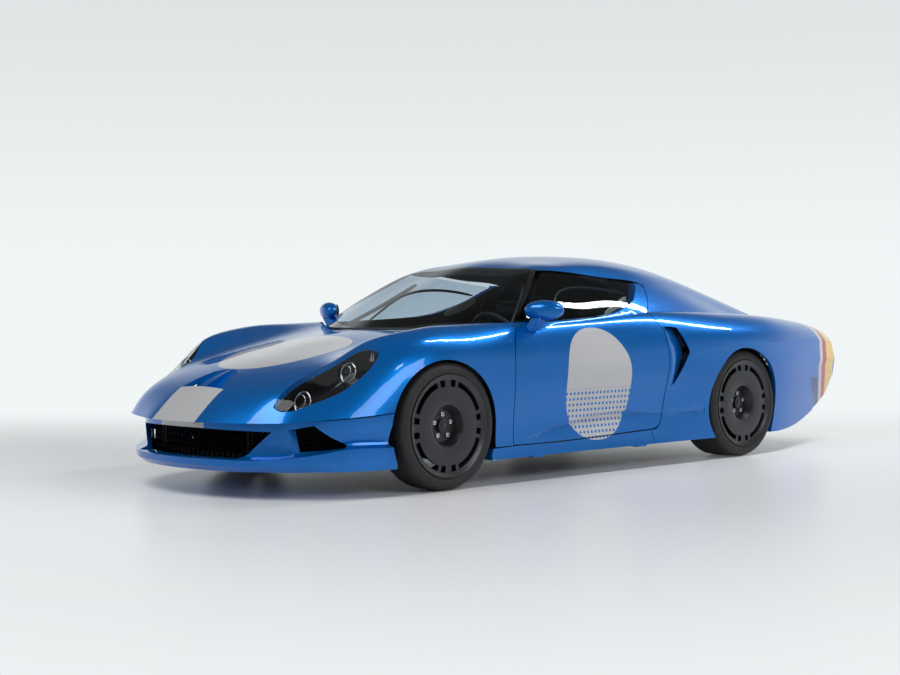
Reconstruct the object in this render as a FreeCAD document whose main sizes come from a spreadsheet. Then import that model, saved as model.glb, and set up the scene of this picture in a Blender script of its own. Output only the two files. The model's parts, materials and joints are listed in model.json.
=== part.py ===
import FreeCAD, Part
import math
import os
from FreeCAD import Placement, Rotation, Vector

# Mid-engined two-seat supercar, full size. Millimetres, +X forward, +Y to the car's left, +Z up.
# The outlines are drawn from a station near the middle of the wheelbase. Every finished piece is then
# placed origin_shift further forward, so that the origin is on the ground under the middle of the car.

os.makedirs("parts", exist_ok=True)
doc = FreeCAD.newDocument("supercar")

# Driving dimensions
DIMENSIONS = {
    "origin_shift": 50,
    "front_axle_x": 1335,
    "rear_axle_x": -1085,
    "axle_height": 316,
    "tyre_radius": 316,
    "rim_radius": 253.5,
    "bead_radius": 236,
    "front_tyre_width": 205,
    "rear_tyre_width": 255,
    "wheel_face_y": 875,
    "kingpin_y": 750,
    "panel_wall": 25,
    "roof_wall": 34,
    "door_wall": 68,
    "glass_wall": 5,
    "shut_gap": 5,
    "front_arch_x": 1355,
    "front_arch_z": 296,
    "front_arch_radius": 345,
    "rear_arch_x": -1072,
    "rear_arch_z": 306,
    "rear_arch_radius": 338,
    "floor_z": 122,
    "floor_wall": 30,
    "brake_radius": 165,
    "engine_length": 620,
    "engine_width": 480,
    "engine_height": 430,
}
sheet = doc.addObject("Spreadsheet::Sheet", "dims")
for row, (alias, number) in enumerate(DIMENSIONS.items(), start=1):
    sheet.set(f"A{row}", alias)
    sheet.set(f"B{row}", str(number))
    sheet.setAlias(f"B{row}", alias)
doc.recompute()


def dim(alias):
    """One driving dimension from the sheet."""
    return float(getattr(sheet, alias))


NODES = []


def node(obj, name):
    """Name a finished sub-part and keep it for writing out."""
    obj.Label = name
    NODES.append(obj)
    return obj


def feature(name, shape):
    obj = doc.addObject("Part::Feature", name)
    obj.Shape = shape
    forward = Placement(Vector(dim("origin_shift"), 0, 0), Rotation())
    obj.Placement = forward.multiply(obj.Placement)
    return obj


# Lines that shape the body, each through points (x, y, z) of its left side, from nose to tail
BODY_LINES = {
    "centre": [(2600, 0, 190), (2480, 0, 262), (2360, 0, 357), (2275, 0, 437), (2188, 0, 510),
               (2075, 0, 566), (1975, 0, 603), (1725, 0, 672), (1525, 0, 718), (1262, 0, 763),
               (1025, 0, 787), (525, 0, 795), (-325, 0, 820), (-1085, 0, 830), (-1875, 0, 832),
               (-2260, 0, 806), (-2500, 0, 775)],
    "valley": [(2600, 250, 175), (2480, 255, 245), (2360, 250, 340), (2188, 290, 490),
               (1975, 350, 587), (1725, 400, 660), (1525, 425, 704), (1262, 435, 750),
               (1025, 435, 778), (525, 430, 798), (-325, 430, 835), (-1085, 400, 845),
               (-1875, 330, 832), (-2260, 280, 802), (-2500, 240, 770)],
    "inner": [(2600, 400, 120), (2480, 410, 190), (2360, 420, 262), (2188, 480, 455),
              (1975, 540, 566), (1725, 565, 684), (1525, 590, 742), (1262, 600, 780),
              (1025, 600, 795), (525, 610, 806), (-325, 620, 850), (-1085, 600, 850),
              (-1875, 530, 815), (-2260, 450, 780), (-2500, 400, 748)],
    "crest": [(2600, 500, 70), (2480, 520, 140), (2360, 530, 190), (2188, 570, 408),
              (1975, 640, 530), (1725, 665, 712), (1525, 708, 772), (1335, 718, 799),
              (1125, 715, 806), (875, 732, 811), (525, 755, 814), (125, 760, 826),
              (-325, 745, 852), (-1085, 715, 840), (-1475, 705, 820), (-1875, 640, 788),
              (-2260, 550, 752), (-2500, 480, 722)],
    "shoulder": [(2600, 590, 10), (2480, 620, 70), (2360, 640, 100), (2188, 660, 310),
                 (1975, 722, 430), (1725, 785, 600), (1525, 820, 705), (1335, 835, 725),
                 (1125, 830, 725), (875, 828, 724), (125, 830, 724), (-325, 835, 745),
                 (-1085, 850, 752), (-1475, 828, 730), (-1875, 745, 712), (-2260, 642, 688),
                 (-2500, 560, 665)],
    "waist": [(2600, 650, -60), (2480, 690, 0), (2360, 710, 20), (2188, 712, 200),
              (1975, 778, 310), (1725, 850, 420), (1525, 872, 560), (1335, 888, 560),
              (1125, 882, 560), (875, 875, 560), (125, 876, 570), (-325, 882, 590),
              (-1085, 906, 610), (-1475, 878, 610), (-1875, 792, 604), (-2260, 692, 590),
              (-2500, 612, 575)],
    "lower": [(2600, 670, -120), (2480, 720, -60), (2360, 740, -50), (2188, 735, 100),
              (1975, 800, 200), (1725, 862, 270), (1525, 878, 330), (1335, 886, 330),
              (1125, 878, 330), (875, 862, 350), (125, 850, 370), (-325, 856, 380),
              (-1085, 896, 400), (-1475, 866, 400), (-1875, 775, 400), (-2260, 668, 400),
              (-2500, 588, 400)],
    "sill": [(2600, 680, -180), (2480, 735, -120), (2360, 755, -100), (2188, 750, 30),
             (1975, 812, 110), (1725, 868, 120), (1525, 876, 125), (1335, 880, 127),
             (1125, 876, 128), (875, 874, 129), (125, 878, 130), (-325, 880, 130),
             (-1085, 886, 130), (-1475, 850, 128), (-1875, 750, 125), (-2260, 635, 125),
             (-2500, 550, 125)],
}
BODY_STATIONS = 36

# Lines that shape the cabin, from the foot of the windscreen back over the fastback
CABIN_LINES = {
    "centre": [(1325, 0, 690), (1225, 0, 735), (1125, 0, 783), (925, 0, 880), (725, 0, 975),
               (525, 0, 1062), (390, 0, 1115), (325, 0, 1135), (125, 0, 1172), (-75, 0, 1189),
               (-275, 0, 1192), (-575, 0, 1178), (-875, 0, 1138), (-1275, 0, 1055),
               (-1675, 0, 952), (-2075, 0, 850), (-2325, 0, 788)],
    "mid": [(1325, 300, 640), (1125, 300, 745), (925, 300, 850), (725, 300, 948),
            (525, 298, 1038), (390, 295, 1095), (325, 293, 1118), (125, 285, 1152),
            (-275, 280, 1174), (-575, 270, 1160), (-875, 260, 1120), (-1275, 240, 1035),
            (-1675, 215, 936), (-2075, 190, 836), (-2325, 175, 775)],
    "rail": [(1325, 500, 560), (1125, 505, 690), (925, 515, 808), (725, 520, 918),
             (525, 515, 1018), (390, 508, 1075), (313, 505, 1099), (125, 490, 1120),
             (-275, 465, 1127), (-575, 440, 1106), (-875, 410, 1062), (-1275, 365, 978),
             (-1675, 315, 883), (-2075, 265, 790), (-2325, 240, 735)],
    "gutter": [(1325, 700, 300), (1125, 740, 470), (925, 765, 650), (735, 762, 815),
               (525, 668, 950), (313, 590, 1040), (125, 565, 1062), (-275, 545, 1075),
               (-525, 525, 1058), (-875, 485, 1005), (-1275, 435, 915), (-1675, 375, 825),
               (-2075, 315, 740), (-2325, 285, 690)],
    "belt": [(1325, 800, 100), (1125, 820, 300), (925, 835, 500), (735, 800, 770),
             (525, 780, 800), (313, 772, 808), (125, 768, 816), (-275, 745, 846),
             (-575, 700, 850), (-875, 650, 835), (-1275, 570, 790), (-1675, 480, 720),
             (-2075, 395, 640), (-2325, 350, 590)],
    "root": [(1325, 810, -50), (1125, 830, 120), (925, 842, 300), (735, 812, 500),
             (525, 792, 550), (313, 782, 560), (125, 778, 570), (-275, 757, 590),
             (-575, 715, 600), (-875, 667, 590), (-1275, 588, 550), (-1675, 498, 480),
             (-2075, 412, 420), (-2325, 366, 380)],
}
CABIN_STATIONS = 28
SECTION_STEPS = 3


def spread(first, last, count):
    """Evenly spaced numbers from first to last."""
    return [first + (last - first) * i / (count - 1) for i in range(count)]


def line_along_x(points):
    """Spline whose parameter is its own x, so that it can be read at any station."""
    ordered = sorted((Vector(*p) for p in points), key=lambda p: p.x)
    curve = Part.BSplineCurve()
    curve.interpolate(Points=ordered, Parameters=[p.x for p in ordered])
    return curve


def section(points):
    """Points along one cross-section, from the right sill over the centre to the left sill."""
    full = [Vector(p.x, -p.y, p.z) for p in points[:0:-1]] + points
    knots = [0.0]
    for a, b in zip(full, full[1:]):
        knots.append(knots[-1] + math.sqrt((b - a).Length))
    curve = Part.BSplineCurve()
    curve.interpolate(Points=full, Parameters=knots)
    sampled = []
    for a, b in zip(knots, knots[1:]):
        sampled += [curve.value(a + (b - a) * i / SECTION_STEPS) for i in range(SECTION_STEPS)]
    return sampled + [full[-1]]


def section_grid(lines, first, last, count):
    curves = [line_along_x(points) for points in lines.values()]
    return [section([curve.value(x) for curve in curves]) for x in spread(first, last, count)]


def skin_surface(grid):
    surface = Part.BSplineSurface()
    surface.interpolate(grid)
    return surface


def inset_grid(grid, depth):
    """The same grid moved inwards, square to the skin, whose slope is read from its neighbours."""
    moved = []
    for i, row in enumerate(grid):
        ahead = grid[max(i - 1, 0)]
        behind = grid[min(i + 1, len(grid) - 1)]
        new_row = []
        for j, point in enumerate(row):
            along = ahead[j] - behind[j]
            across = row[min(j + 1, len(row) - 1)] - row[max(j - 1, 0)]
            outward = along.cross(across).normalize()
            new_row.append(point - outward * depth)
        moved.append(new_row)
    return moved


def flattened(grid):
    """The grid with its first and last rows made plane again, so that their ends close flat."""
    for row in (grid[0], grid[-1]):
        mean_x = sum(p.x for p in row) / len(row)
        for point in row:
            point.x = mean_x
    return grid


def skin_solid(grid):
    """Solid under a skin: the skin itself, flat ends and a straight floor between its two edges."""
    surface = skin_surface(grid)
    u_front, u_rear, v_right, v_left = surface.bounds()
    right = surface.vIso(v_right).toShape()
    left = surface.vIso(v_left).toShape()
    faces = [surface.toShape(), Part.makeRuledSurface(right, left)]
    for end in (surface.uIso(u_front).toShape(), surface.uIso(u_rear).toShape()):
        first, last = end.Vertexes[0].Point, end.Vertexes[-1].Point
        rim = Part.Wire([end, Part.makeLine(last, first)])
        faces.append(Part.Face(Part.Plane(first, Vector(1, 0, 0)), rim))
    shell = Part.makeShell(faces)
    shell.sewShape()
    solid = Part.makeSolid(shell)
    if solid.Volume < 0:
        solid.reverse()
    return solid


def outline(segments):
    """Closed plane wire: a segment of two points is straight, a longer one is a smooth curve."""
    edges = []
    for points in segments:
        points = [Vector(*p) for p in points]
        if len(points) == 2:
            edges.append(Part.makeLine(points[0], points[1]))
        else:
            curve = Part.BSplineCurve()
            curve.interpolate(points)
            edges.append(curve.toShape())
    return Part.Wire(Part.__sortEdges__(edges))


def straight(points):
    """The sides of a polygon as segments for outline."""
    return [[a, b] for a, b in zip(points, points[1:] + points[:1])]


def inset_segments(segments, amount):
    """The same closed outline moved inwards by an even amount, or outwards by a negative one."""
    ring = [p for points in segments for p in points[:-1]]
    area = sum(a[0] * b[1] - b[0] * a[1] for a, b in zip(ring, ring[1:] + ring[:1]))
    sign = amount if area > 0 else -amount
    moved = []
    for points in segments:
        row = []
        for i, (x, y) in enumerate(points):
            ahead = points[min(i + 1, len(points) - 1)]
            behind = points[max(i - 1, 0)]
            run_x, run_y = ahead[0] - behind[0], ahead[1] - behind[1]
            length = math.hypot(run_x, run_y)
            row.append((x - run_y / length * sign, y + run_x / length * sign))
        moved.append(row)
    for first, second in zip(moved, moved[1:] + moved[:1]):
        first[-1] = second[0] = crossing(first[-2], first[-1], second[0], second[1])
    return moved


def crossing(a, b, c, d):
    """Where the line through a and b meets the line through c and d, or b if they run the same way."""
    ab_x, ab_y = b[0] - a[0], b[1] - a[1]
    cd_x, cd_y = d[0] - c[0], d[1] - c[1]
    slope = ab_x * cd_y - ab_y * cd_x
    if abs(slope) < 0.05 * math.hypot(ab_x, ab_y) * math.hypot(cd_x, cd_y):
        return b
    along = ((c[0] - a[0]) * cd_y - (c[1] - a[1]) * cd_x) / slope
    return (a[0] + ab_x * along, a[1] + ab_y * along)


def side_prism(segments, y_low, y_high):
    """Prism across the car, from an outline drawn in the side view as (x, z)."""
    raised = [[(x, y_low, z) for x, z in points] for points in segments]
    return Part.Face(outline(raised)).extrude(Vector(0, y_high - y_low, 0))


def plan_prism(segments, z_low, z_high):
    """Upright prism, from an outline drawn in the top view as (x, y)."""
    raised = [[(x, y, z_low) for x, y in points] for points in segments]
    return Part.Face(outline(raised)).extrude(Vector(0, 0, z_high - z_low))


def front_prism(segments, x_low, x_high):
    """Prism along the car, from an outline drawn in the front view as (y, z)."""
    raised = [[(x_low, y, z) for y, z in points] for points in segments]
    return Part.Face(outline(raised)).extrude(Vector(x_high - x_low, 0, 0))


def block(x_range, y_range, z_range):
    size = [high - low for low, high in (x_range, y_range, z_range)]
    return Part.makeBox(*size, Vector(x_range[0], y_range[0], z_range[0]))


def mirrored(shape):
    return shape.mirror(Vector(0, 0, 0), Vector(0, 1, 0))


def solids_of(shape, smallest=2.0e4):
    """The shape without the slivers that a cut can leave."""
    kept = [s for s in shape.Solids if s.Volume > smallest]
    return kept[0] if len(kept) == 1 else Part.makeCompound(kept)


# Outer and inner skins of the body and of the cabin
WALL = dim("panel_wall")
ROOF_WALL = dim("roof_wall")
GLASS = dim("glass_wall")
GAP = dim("shut_gap")
body_grid = section_grid(BODY_LINES, 2600, -2500, BODY_STATIONS)
cabin_grid = section_grid(CABIN_LINES, 1325, -2325, CABIN_STATIONS)


def inset_solid(grid, depth):
    return skin_solid(flattened(inset_grid(grid, depth)) if depth else grid)


body_outer = inset_solid(body_grid, 0)
body_glass = inset_solid(body_grid, GLASS)
body_inner = inset_solid(body_grid, WALL)
cabin_outer = inset_solid(cabin_grid, 0)
cabin_glass = inset_solid(cabin_grid, GLASS)
cabin_inner = inset_solid(cabin_grid, ROOF_WALL)

body_shell = body_outer.cut(body_inner).cut(cabin_outer)
cabin_shell = cabin_outer.cut(cabin_inner).cut(body_outer)
body_wall = body_outer.cut(body_inner).cut(cabin_inner)
cabin_wall = cabin_outer.cut(cabin_inner).cut(body_inner)

WIDE = 1100
body_skin = skin_surface(body_grid)


def flank_y(x, z):
    """How far out the body's left side stands at a place in the side view."""
    reach = Part.Line(Vector(x, 0, z), Vector(x, WIDE, z))
    return max(p.Y for p in reach.intersectCS(body_skin)[0])


def centre_height(x):
    """Height of the body's skin on the centre line."""
    reach = Part.Line(Vector(x, 0, 0), Vector(x, 0, WIDE))
    return max(p.Z for p in reach.intersectCS(body_skin)[0])


def crease_cut(stations):
    """Wedge taken out below a crease: a short step in under the line, then a long run back to the skin.

    Each station is (x, height of the crease, how far down the cut runs, how deep the step is)."""
    rings = []
    for x, z, drop, depth in stations:
        step = 0.2 * drop
        corners = [(flank_y(x, z), z), (flank_y(x, z - step) - depth, z - step),
                   (flank_y(x, z - drop) + 0.2, z - drop), (WIDE, z - drop), (WIDE, z)]
        rings.append(Part.makePolygon([Vector(x, y, height) for y, height in corners + corners[:1]]))
    return Part.makeLoft(rings, True)


# Scallop along the door and the edge of the haunch over the rear wheel, left and right
SCALLOP = [(900, 200, 10, 0.2), (659, 250, 56, 7), (421, 294, 84, 13), (188, 322, 98, 16),
           (-60, 330, 100, 15), (-240, 318, 84, 9), (-380, 306, 70, 5), (-700, 312, 60, 3)]
HAUNCH = [(-590, 628, 24, 0.5), (-720, 646, 70, 5), (-908, 662, 110, 9), (-1276, 671, 120, 10),
          (-1700, 672, 124, 9), (-2100, 662, 118, 7), (-2480, 640, 90, 2)]
scallop_cut = crease_cut(SCALLOP)
haunch_cut = crease_cut(HAUNCH)


def turned_about(shape, place, axis, degrees):
    turned = shape.copy()
    turned.rotate(place, axis, degrees)
    return turned


def dished(panel, zone, turn, lip_zone):
    """A panel with a sunken ramp in a zone: the skin itself, turned about the ramp's shallow end.

    The lip over the deep end is thinned from behind, so that it reads as folded sheet."""
    ramp_top = turned_about(body_outer, *turn)
    ramp_under = turned_about(body_glass, *turn)
    hollowed = panel.cut(zone.cut(ramp_top)).cut(lip_zone.common(body_glass).cut(zone))
    ramp = ramp_top.cut(ramp_under).common(zone).common(body_outer)
    return hollowed.fuse(ramp)


FRONT_AXLE = dim("front_axle_x")
REAR_AXLE = dim("rear_axle_x")
HUB_Z = dim("axle_height")


def arch_cylinder(x, z, radius, y_low, y_high):
    return Part.makeCylinder(radius, y_high - y_low, Vector(x, y_low, z), Vector(0, 1, 0))


front_arch = arch_cylinder(dim("front_arch_x"), dim("front_arch_z"), dim("front_arch_radius"), -WIDE, WIDE)
rear_arch = arch_cylinder(dim("rear_arch_x"), dim("rear_arch_z"), dim("rear_arch_radius"), -WIDE, WIDE)

# Shut line between door and front body, from the sill up to the windscreen pillar
DOOR_FRONT = [[(872, 195), (872, 520)], [(872, 520), (862, 610), (838, 690), (802, 751), (753, 797)]]
# Shut line behind the door, from the sill up to the roof
DOOR_REAR = [[(-484, 994), (-428, 929), (-352, 857)],
             [(-352, 857), (-347, 812), (-374, 765), (-370, 690), (-366, 621), (-358, 492),
              (-340, 342), (-325, 262), (-241, 213)]]
DOOR_FOOT = [[(-241, 213), (54, 204), (523, 193), (872, 195)]]
SILL_TOP = [(1040, 184), (872, 188), (523, 186), (54, 197), (-236, 206)]
CREASE = [(2700, 352), (2360, 358), (1980, 376), (1690, 400)]
# Foot of the windscreen in the top view, left side, from the pillar to the centre
SCREEN_FOOT = [(742, 792), (835, 700), (940, 520), (1045, 300), (1110, 150), (1135, 0)]


def shifted(points, dx, dz):
    return [(x + dx, z + dz) for x, z in points]


def both_sides(points):
    """A line given on the left and ending on the centre, run on to the right side."""
    return points + [(x, -y) for x, y in points[-2::-1]]


# Front body: one moulding from the nose to the doors, which lifts for the luggage and the wheels
front_side = [CREASE,
              [(1690, 400), (1355, 400)], [(1355, 400), (1355, 192)], [(1355, 192), (877, 192)],
              [(877, 192), (877, 520)],
              [(877, 520), (867, 612), (843, 694), (807, 756), (757, 802)],
              [(757, 802), (757, 1300)], [(757, 1300), (2700, 1300)], [(2700, 1300), (2700, 352)]]
ahead_of_screen = [both_sides([(x + 8, y + (8 if y > 700 else 0)) for x, y in SCREEN_FOOT]),
                   [(750, -800), (-400, -800)], [(-400, -800), (-400, 800)], [(-400, 800), (750, 800)]]

LAMP = [[(2172, 559), (2080, 541), (1970, 535), (1860, 557), (1760, 622), (1690, 690), (1668, 731)],
        [(1668, 731), (1690, 757), (1730, 764), (1805, 754), (1906, 725), (2041, 672), (2136, 626),
         (2165, 592), (2172, 559)]]
lamp_prism = plan_prism(LAMP, 100, 1100)


front_skin = body_shell.common(side_prism(front_side, -WIDE, WIDE))
front_skin = front_skin.cut(front_arch).cut(plan_prism(ahead_of_screen, 600, 1300))
ARCH_X = dim("front_arch_x")
ARCH_Z = dim("front_arch_z")
ARCH_RADIUS = dim("front_arch_radius")
front_skin = front_skin.cut(block((ARCH_X - ARCH_RADIUS, ARCH_X), (-WIDE, WIDE), (0, ARCH_Z)))
front_skin = front_skin.cut(lamp_prism).cut(mirrored(lamp_prism))

# Wings thinned round the wheels, so that the opening clamshell clears the tyres
THINNED_BAND = 110
edge_relief = arch_cylinder(ARCH_X, ARCH_Z, ARCH_RADIUS + THINNED_BAND, -WIDE, WIDE)
front_skin = front_skin.cut(edge_relief.common(body_glass))

# Two air outlets in the bonnet, either side of a spine, each a ramp that rises to the rear
NOSTRIL = [(2178, 28), (2178, 168), (2025, 101), (1988, 8)]
NOSTRIL_HINGE = Vector(1988, 0, centre_height(1988))
NOSTRIL_TURN = (NOSTRIL_HINGE, Vector(0, 1, 0), 12)
SPINE = [(2186, 30), (1988, 9), (1988, -9), (2186, -30)]
nostril_zones = [plan_prism(straight([(x, side * y) for x, y in NOSTRIL]), 300, 700) for side in (1, -1)]
nostril_zone = Part.makeCompound(nostril_zones)
under_lip = block((2178, 2210), (-168, 168), (300, 700))
front_skin = dished(front_skin, nostril_zone, NOSTRIL_TURN, under_lip)
spine = plan_prism(straight(SPINE), 300, 700).common(body_glass)
front_skin = front_skin.fuse(spine.cut(turned_about(body_glass, *NOSTRIL_TURN)))
node(feature("FrontClamshell", solids_of(front_skin)), "front_clamshell")

# Headlamps: a dark bowl under a clear cover that carries on the wing's surface
lens_prism = plan_prism(inset_segments(LAMP, 2.5), 100, 1100)
lens = body_outer.cut(body_glass).common(lens_prism)
lens = solids_of(lens, 1.0e3)
node(feature("HeadlampLenses", Part.makeCompound([lens, mirrored(lens)])), "headlamp_lenses")

BOWL_WALL = 6
bowl_block = plan_prism(inset_segments(LAMP, -7), 385, 1100).common(body_inner)
floor_near = body_outer.translated(Vector(-55, -20, -75))
floor_far = body_outer.translated(Vector(-55, -20, -75 - BOWL_WALL))
bowl = bowl_block.cut(floor_far).cut(lens_prism.cut(floor_near))
bowl = solids_of(bowl)
LAMP_UNITS = [(2030, 612, 452, 56), (1800, 672, 585, 52)]


def lamp_units():
    pieces = []
    aim = Vector(1, 0.12, 0.25).normalize()
    for x, y, z, radius in LAMP_UNITS:
        base = Vector(x, y, z) - aim * 60
        pieces.append(Part.makeCylinder(radius, 70, base, aim))
        pieces.append(Part.makeSphere(radius * 0.8, base + aim * 60))
    first = Vector(*LAMP_UNITS[0][:3]) - aim * 10
    second = Vector(*LAMP_UNITS[1][:3]) - aim * 10
    pieces.append(Part.makeCylinder(12, (second - first).Length, first, second - first))
    joined = pieces[0].multiFuse(pieces[1:])
    return joined.common(body_glass.translated(Vector(-4, 0, -6)))


headlamp = solids_of(bowl.fuse(lamp_units()))
node(feature("Headlamps", Part.makeCompound([headlamp, mirrored(headlamp)])), "headlamps")

TOW_RADIUS = 8
TOW_DEPTH = 60


def tow_socket(x_mouth, y, z, direction):
    """Boss and threaded bore that a towing eye screws into, opening forwards (1) or rearwards (-1)."""
    mouth = Vector(x_mouth, y, z)
    inwards = Vector(-direction, 0, 0)
    return (Part.makeCylinder(16, TOW_DEPTH + 20, mouth, inwards),
            Part.makeCylinder(TOW_RADIUS, TOW_DEPTH, mouth, inwards))


# Nose below the crease: rings joined by straight faces, each as (inset, height) at the middle and the side
NOSE_PLAN = [(1660, 864), (1760, 850), (1900, 795), (2025, 722), (2140, 625), (2232, 505),
             (2300, 370), (2340, 200), (2358, 0)]
NOSE_RINGS = [((46, 430), (0, 430)), ((46, 340), (2, 340)), ((52, 216), (34, 262)), ((46, 204), (30, 250)),
              ((-4, 188), (-2, 236)), ((2, 156), (0, 160)), ((34, 130), (14, 130))]


def nose_ring(front, side, x_rear=1660):
    """One level of the nose, set in from its plan outline."""
    points = []
    for i, (x, y) in enumerate(NOSE_PLAN):
        ahead = NOSE_PLAN[min(i + 1, len(NOSE_PLAN) - 1)]
        behind = NOSE_PLAN[max(i - 1, 0)]
        run_x, run_y = ahead[0] - behind[0], ahead[1] - behind[1]
        if i == len(NOSE_PLAN) - 1:
            run_x, run_y = 0, -1
        length = math.hypot(run_x, run_y)
        share = min(max((x - 1900) / 300, 0), 1)
        inset = side[0] + (front[0] - side[0]) * share
        height = side[1] + (front[1] - side[1]) * share
        points.append((x + run_y / length * inset, y - run_x / length * inset, height))
    points[0] = (x_rear, points[0][1], points[0][2])
    full = points + [(x, -y, z) for x, y, z in points[-2::-1]]
    curve = Part.BSplineCurve()
    curve.interpolate([Vector(*p) for p in full])
    closing = Part.makeLine(Vector(*full[-1]), Vector(*full[0]))
    return Part.Wire([curve.toShape(), closing])


nose_block = Part.makeLoft([nose_ring(*ring) for ring in NOSE_RINGS], True, True)
nose_core = Part.makeLoft([nose_ring((76, z), (60, z), 1600) for z in (450, 150)], True, True)
below_crease = [shifted(CREASE, 0, -5), [(1690, 395), (1500, 395)], [(1500, 395), (1500, 0)],
                [(1500, 0), (2700, 0)], [(2700, 0), (2700, 347)]]
mouth = front_prism([[(-402, 190), (402, 190)], [(402, 190), (530, 318)],
                     [(530, 318), (260, 326), (0, 329), (-260, 326), (-530, 318)],
                     [(-530, 318), (-402, 190)]], 1900, 2500)
vent = front_prism(straight([(609, 220), (594, 327), (688, 348), (770, 240)]), 1850, 2400)
bumper = nose_block.cut(nose_core).common(side_prism(below_crease, -WIDE, WIDE))
bumper = bumper.cut(mouth).cut(vent).cut(mirrored(vent)).cut(front_arch)
bumper = bumper.cut(block((1500, 1700), (-700, 700), (100, 500)))
tow_boss, tow_bore = tow_socket(2140, -545, 290, 1)
tow_approach = Part.makeCylinder(12, 160, Vector(2140, -545, 290), Vector(1, 0, 0))
bumper = bumper.fuse(tow_boss).cut(tow_bore).cut(tow_approach)
node(feature("FrontBumper", solids_of(bumper)), "front_bumper")


def ribbon(front_inset, side_inset, depth, z_low, z_high):
    """Upright curved strip that follows the nose."""
    outer = Part.makeLoft([nose_ring((front_inset, z), (side_inset, z))
                           for z in (z_low, z_high)], True, True)
    inner = Part.makeLoft([nose_ring((front_inset + depth, z), (side_inset + depth, z), 1600)
                           for z in (z_low - 1, z_high + 1)], True, True)
    return outer.cut(inner)


GRILLE_PITCH = 34
grille_band = ribbon(96, 80, 8, 151, 338)
grille_area = front_prism(straight([(-390, 150), (390, 150), (540, 325),
                                    (500, 339), (-500, 339), (-540, 325)]), 1900, 2500)
grille = grille_band.common(grille_area)
holes = []
for column in range(-15, 16):
    for level in range(4):
        y = column * GRILLE_PITCH
        z = 182 + level * GRILLE_PITCH
        if abs(y) + 14 < 380 + (z - 176) * 1.11:
            holes.append(block((1900, 2500), (y - 14, y + 14), (z, z + 28)))
grille = grille.cut(Part.makeCompound(holes))
node(feature("MainGrille", solids_of(grille, 100)), "main_grille")

vent_band = ribbon(96, 70, 8, 151, 348)
vent_area = front_prism(straight([(566, 150), (566, 335), (700, 349), (745, 232), (700, 150)]), 1850, 2400)
vent_mesh = vent_band.common(vent_area)
slots = [block((1800, 2500), (580, 760), (z, z + 14)) for z in range(222, 330, 24)]
vent_mesh = solids_of(vent_mesh.cut(Part.makeCompound(slots)).fuse(vent_band.common(vent_area).common(
    block((1800, 2500), (640, 660), (200, 360)))), 100)
node(feature("VentGrilles", Part.makeCompound([vent_mesh, mirrored(vent_mesh)])), "vent_grilles")

# Outline of the windscreen in the top view
HEADER = [(322, 505), (345, 350), (362, 180), (368, 0)]
SCREEN_FOOT_GAP = 9
SCREEN_SIDE = [(322, 505), (420, 566), (525, 640), (640, 715), (742, 792)]
SCREEN = [SCREEN_SIDE, both_sides(SCREEN_FOOT), [(x, -y) for x, y in SCREEN_SIDE[::-1]],
          [(x, -y) for x, y in both_sides(HEADER)]]


def screen_zone(inset):
    """Upright prism on the windscreen's outline in the top view."""
    return plan_prism(inset_segments(SCREEN, inset), 0, 1500)


# Sills and doors
sill_zone = straight([(1040, 90)] + SILL_TOP + [(-236, 90)])
sill = body_outer.common(side_prism(sill_zone, 0, WIDE)).cut(block((-400, 1100), (-1, 792), (0, 400)))
sill = solids_of(sill.cut(front_arch).cut(scallop_cut))
JACK_PAD_Z = 118
for x in (680, -160):
    sill = sill.fuse(block((x - 40, x + 40), (800, 850), (JACK_PAD_Z, 145)))
node(feature("SideSills", Part.makeCompound([sill, mirrored(sill)])), "side_sills")

door_zone = DOOR_FRONT + DOOR_REAR + DOOR_FOOT + [[(753, 797), (753, 1150)], [(753, 1150), (-484, 1150)],
                                                  [(-484, 1150), (-484, 994)]]
door_prism = side_prism(door_zone, 0, WIDE)
DOOR_WAIST = [(150, 800), (350, 790), (560, 806), (690, 790), (760, 745), (800, 690), (870, 640)]
cabin_void = front_prism([[(0, 100), (800, 100)], [(800, 100), (800, 150)],
                          [(y, z) for z, y in DOOR_WAIST], [(640, 870), (0, 870)], [(0, 870), (0, 100)]],
                         -900, 1200)
door_low = body_outer.common(door_prism).cut(cabin_void).cut(cabin_inner)
GLASS_FOOT = [(-414, 1011), (-360, 975), (-296, 933), (-200, 896), (-100, 867), (73, 839), (318, 823),
              (560, 815), (735, 815)]
glass_window = [GLASS_FOOT, [(735, 815), (735, 1300)], [(735, 1300), (-414, 1300)],
                [(-414, 1300), (-414, 1011)]]
door_high = cabin_shell.common(door_prism).cut(side_prism(glass_window, 0, WIDE))
ROOF_EDGE = [(-700, 1008), (-484, 1020), (-214, 1048), (83, 1078), (313, 1089)]
PILLAR = [(313, 1089), (420, 1030), (525, 960), (640, 885), (735, 822)]
above_roof_edge = [ROOF_EDGE, PILLAR, [(735, 822), (753, 797)], [(753, 797), (900, 797)],
                   [(900, 797), (900, 1400)], [(900, 1400), (-700, 1400)],
                   [(-700, 1400), (-700, 1008)]]
door_high = door_high.cut(side_prism(above_roof_edge, 0, WIDE)).cut(screen_zone(0))
door = solids_of(door_low.cut(scallop_cut).fuse(door_high), 2.0e5)
node(feature("DoorLeft", door), "door_left")
node(feature("DoorRight", mirrored(door)), "door_right")

glass_zone = straight(shifted([(-408, 1003), (-296, 929), (-200, 892), (-100, 863), (73, 835),
                               (318, 819), (560, 811)], 0, -22) + [(722, 800)]
                      + shifted([(640, 885), (525, 960), (420, 1030), (313, 1089), (83, 1078),
                                 (-214, 1048)], 0, -9) + [(-400, 1018)])
side_glass = cabin_outer.cut(cabin_glass).common(side_prism(glass_zone, 0, WIDE)).cut(door)
side_glass = solids_of(side_glass, 1.0e3)
node(feature("DoorGlassLeft", side_glass), "door_glass_left")
node(feature("DoorGlassRight", mirrored(side_glass)), "door_glass_right")

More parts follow.
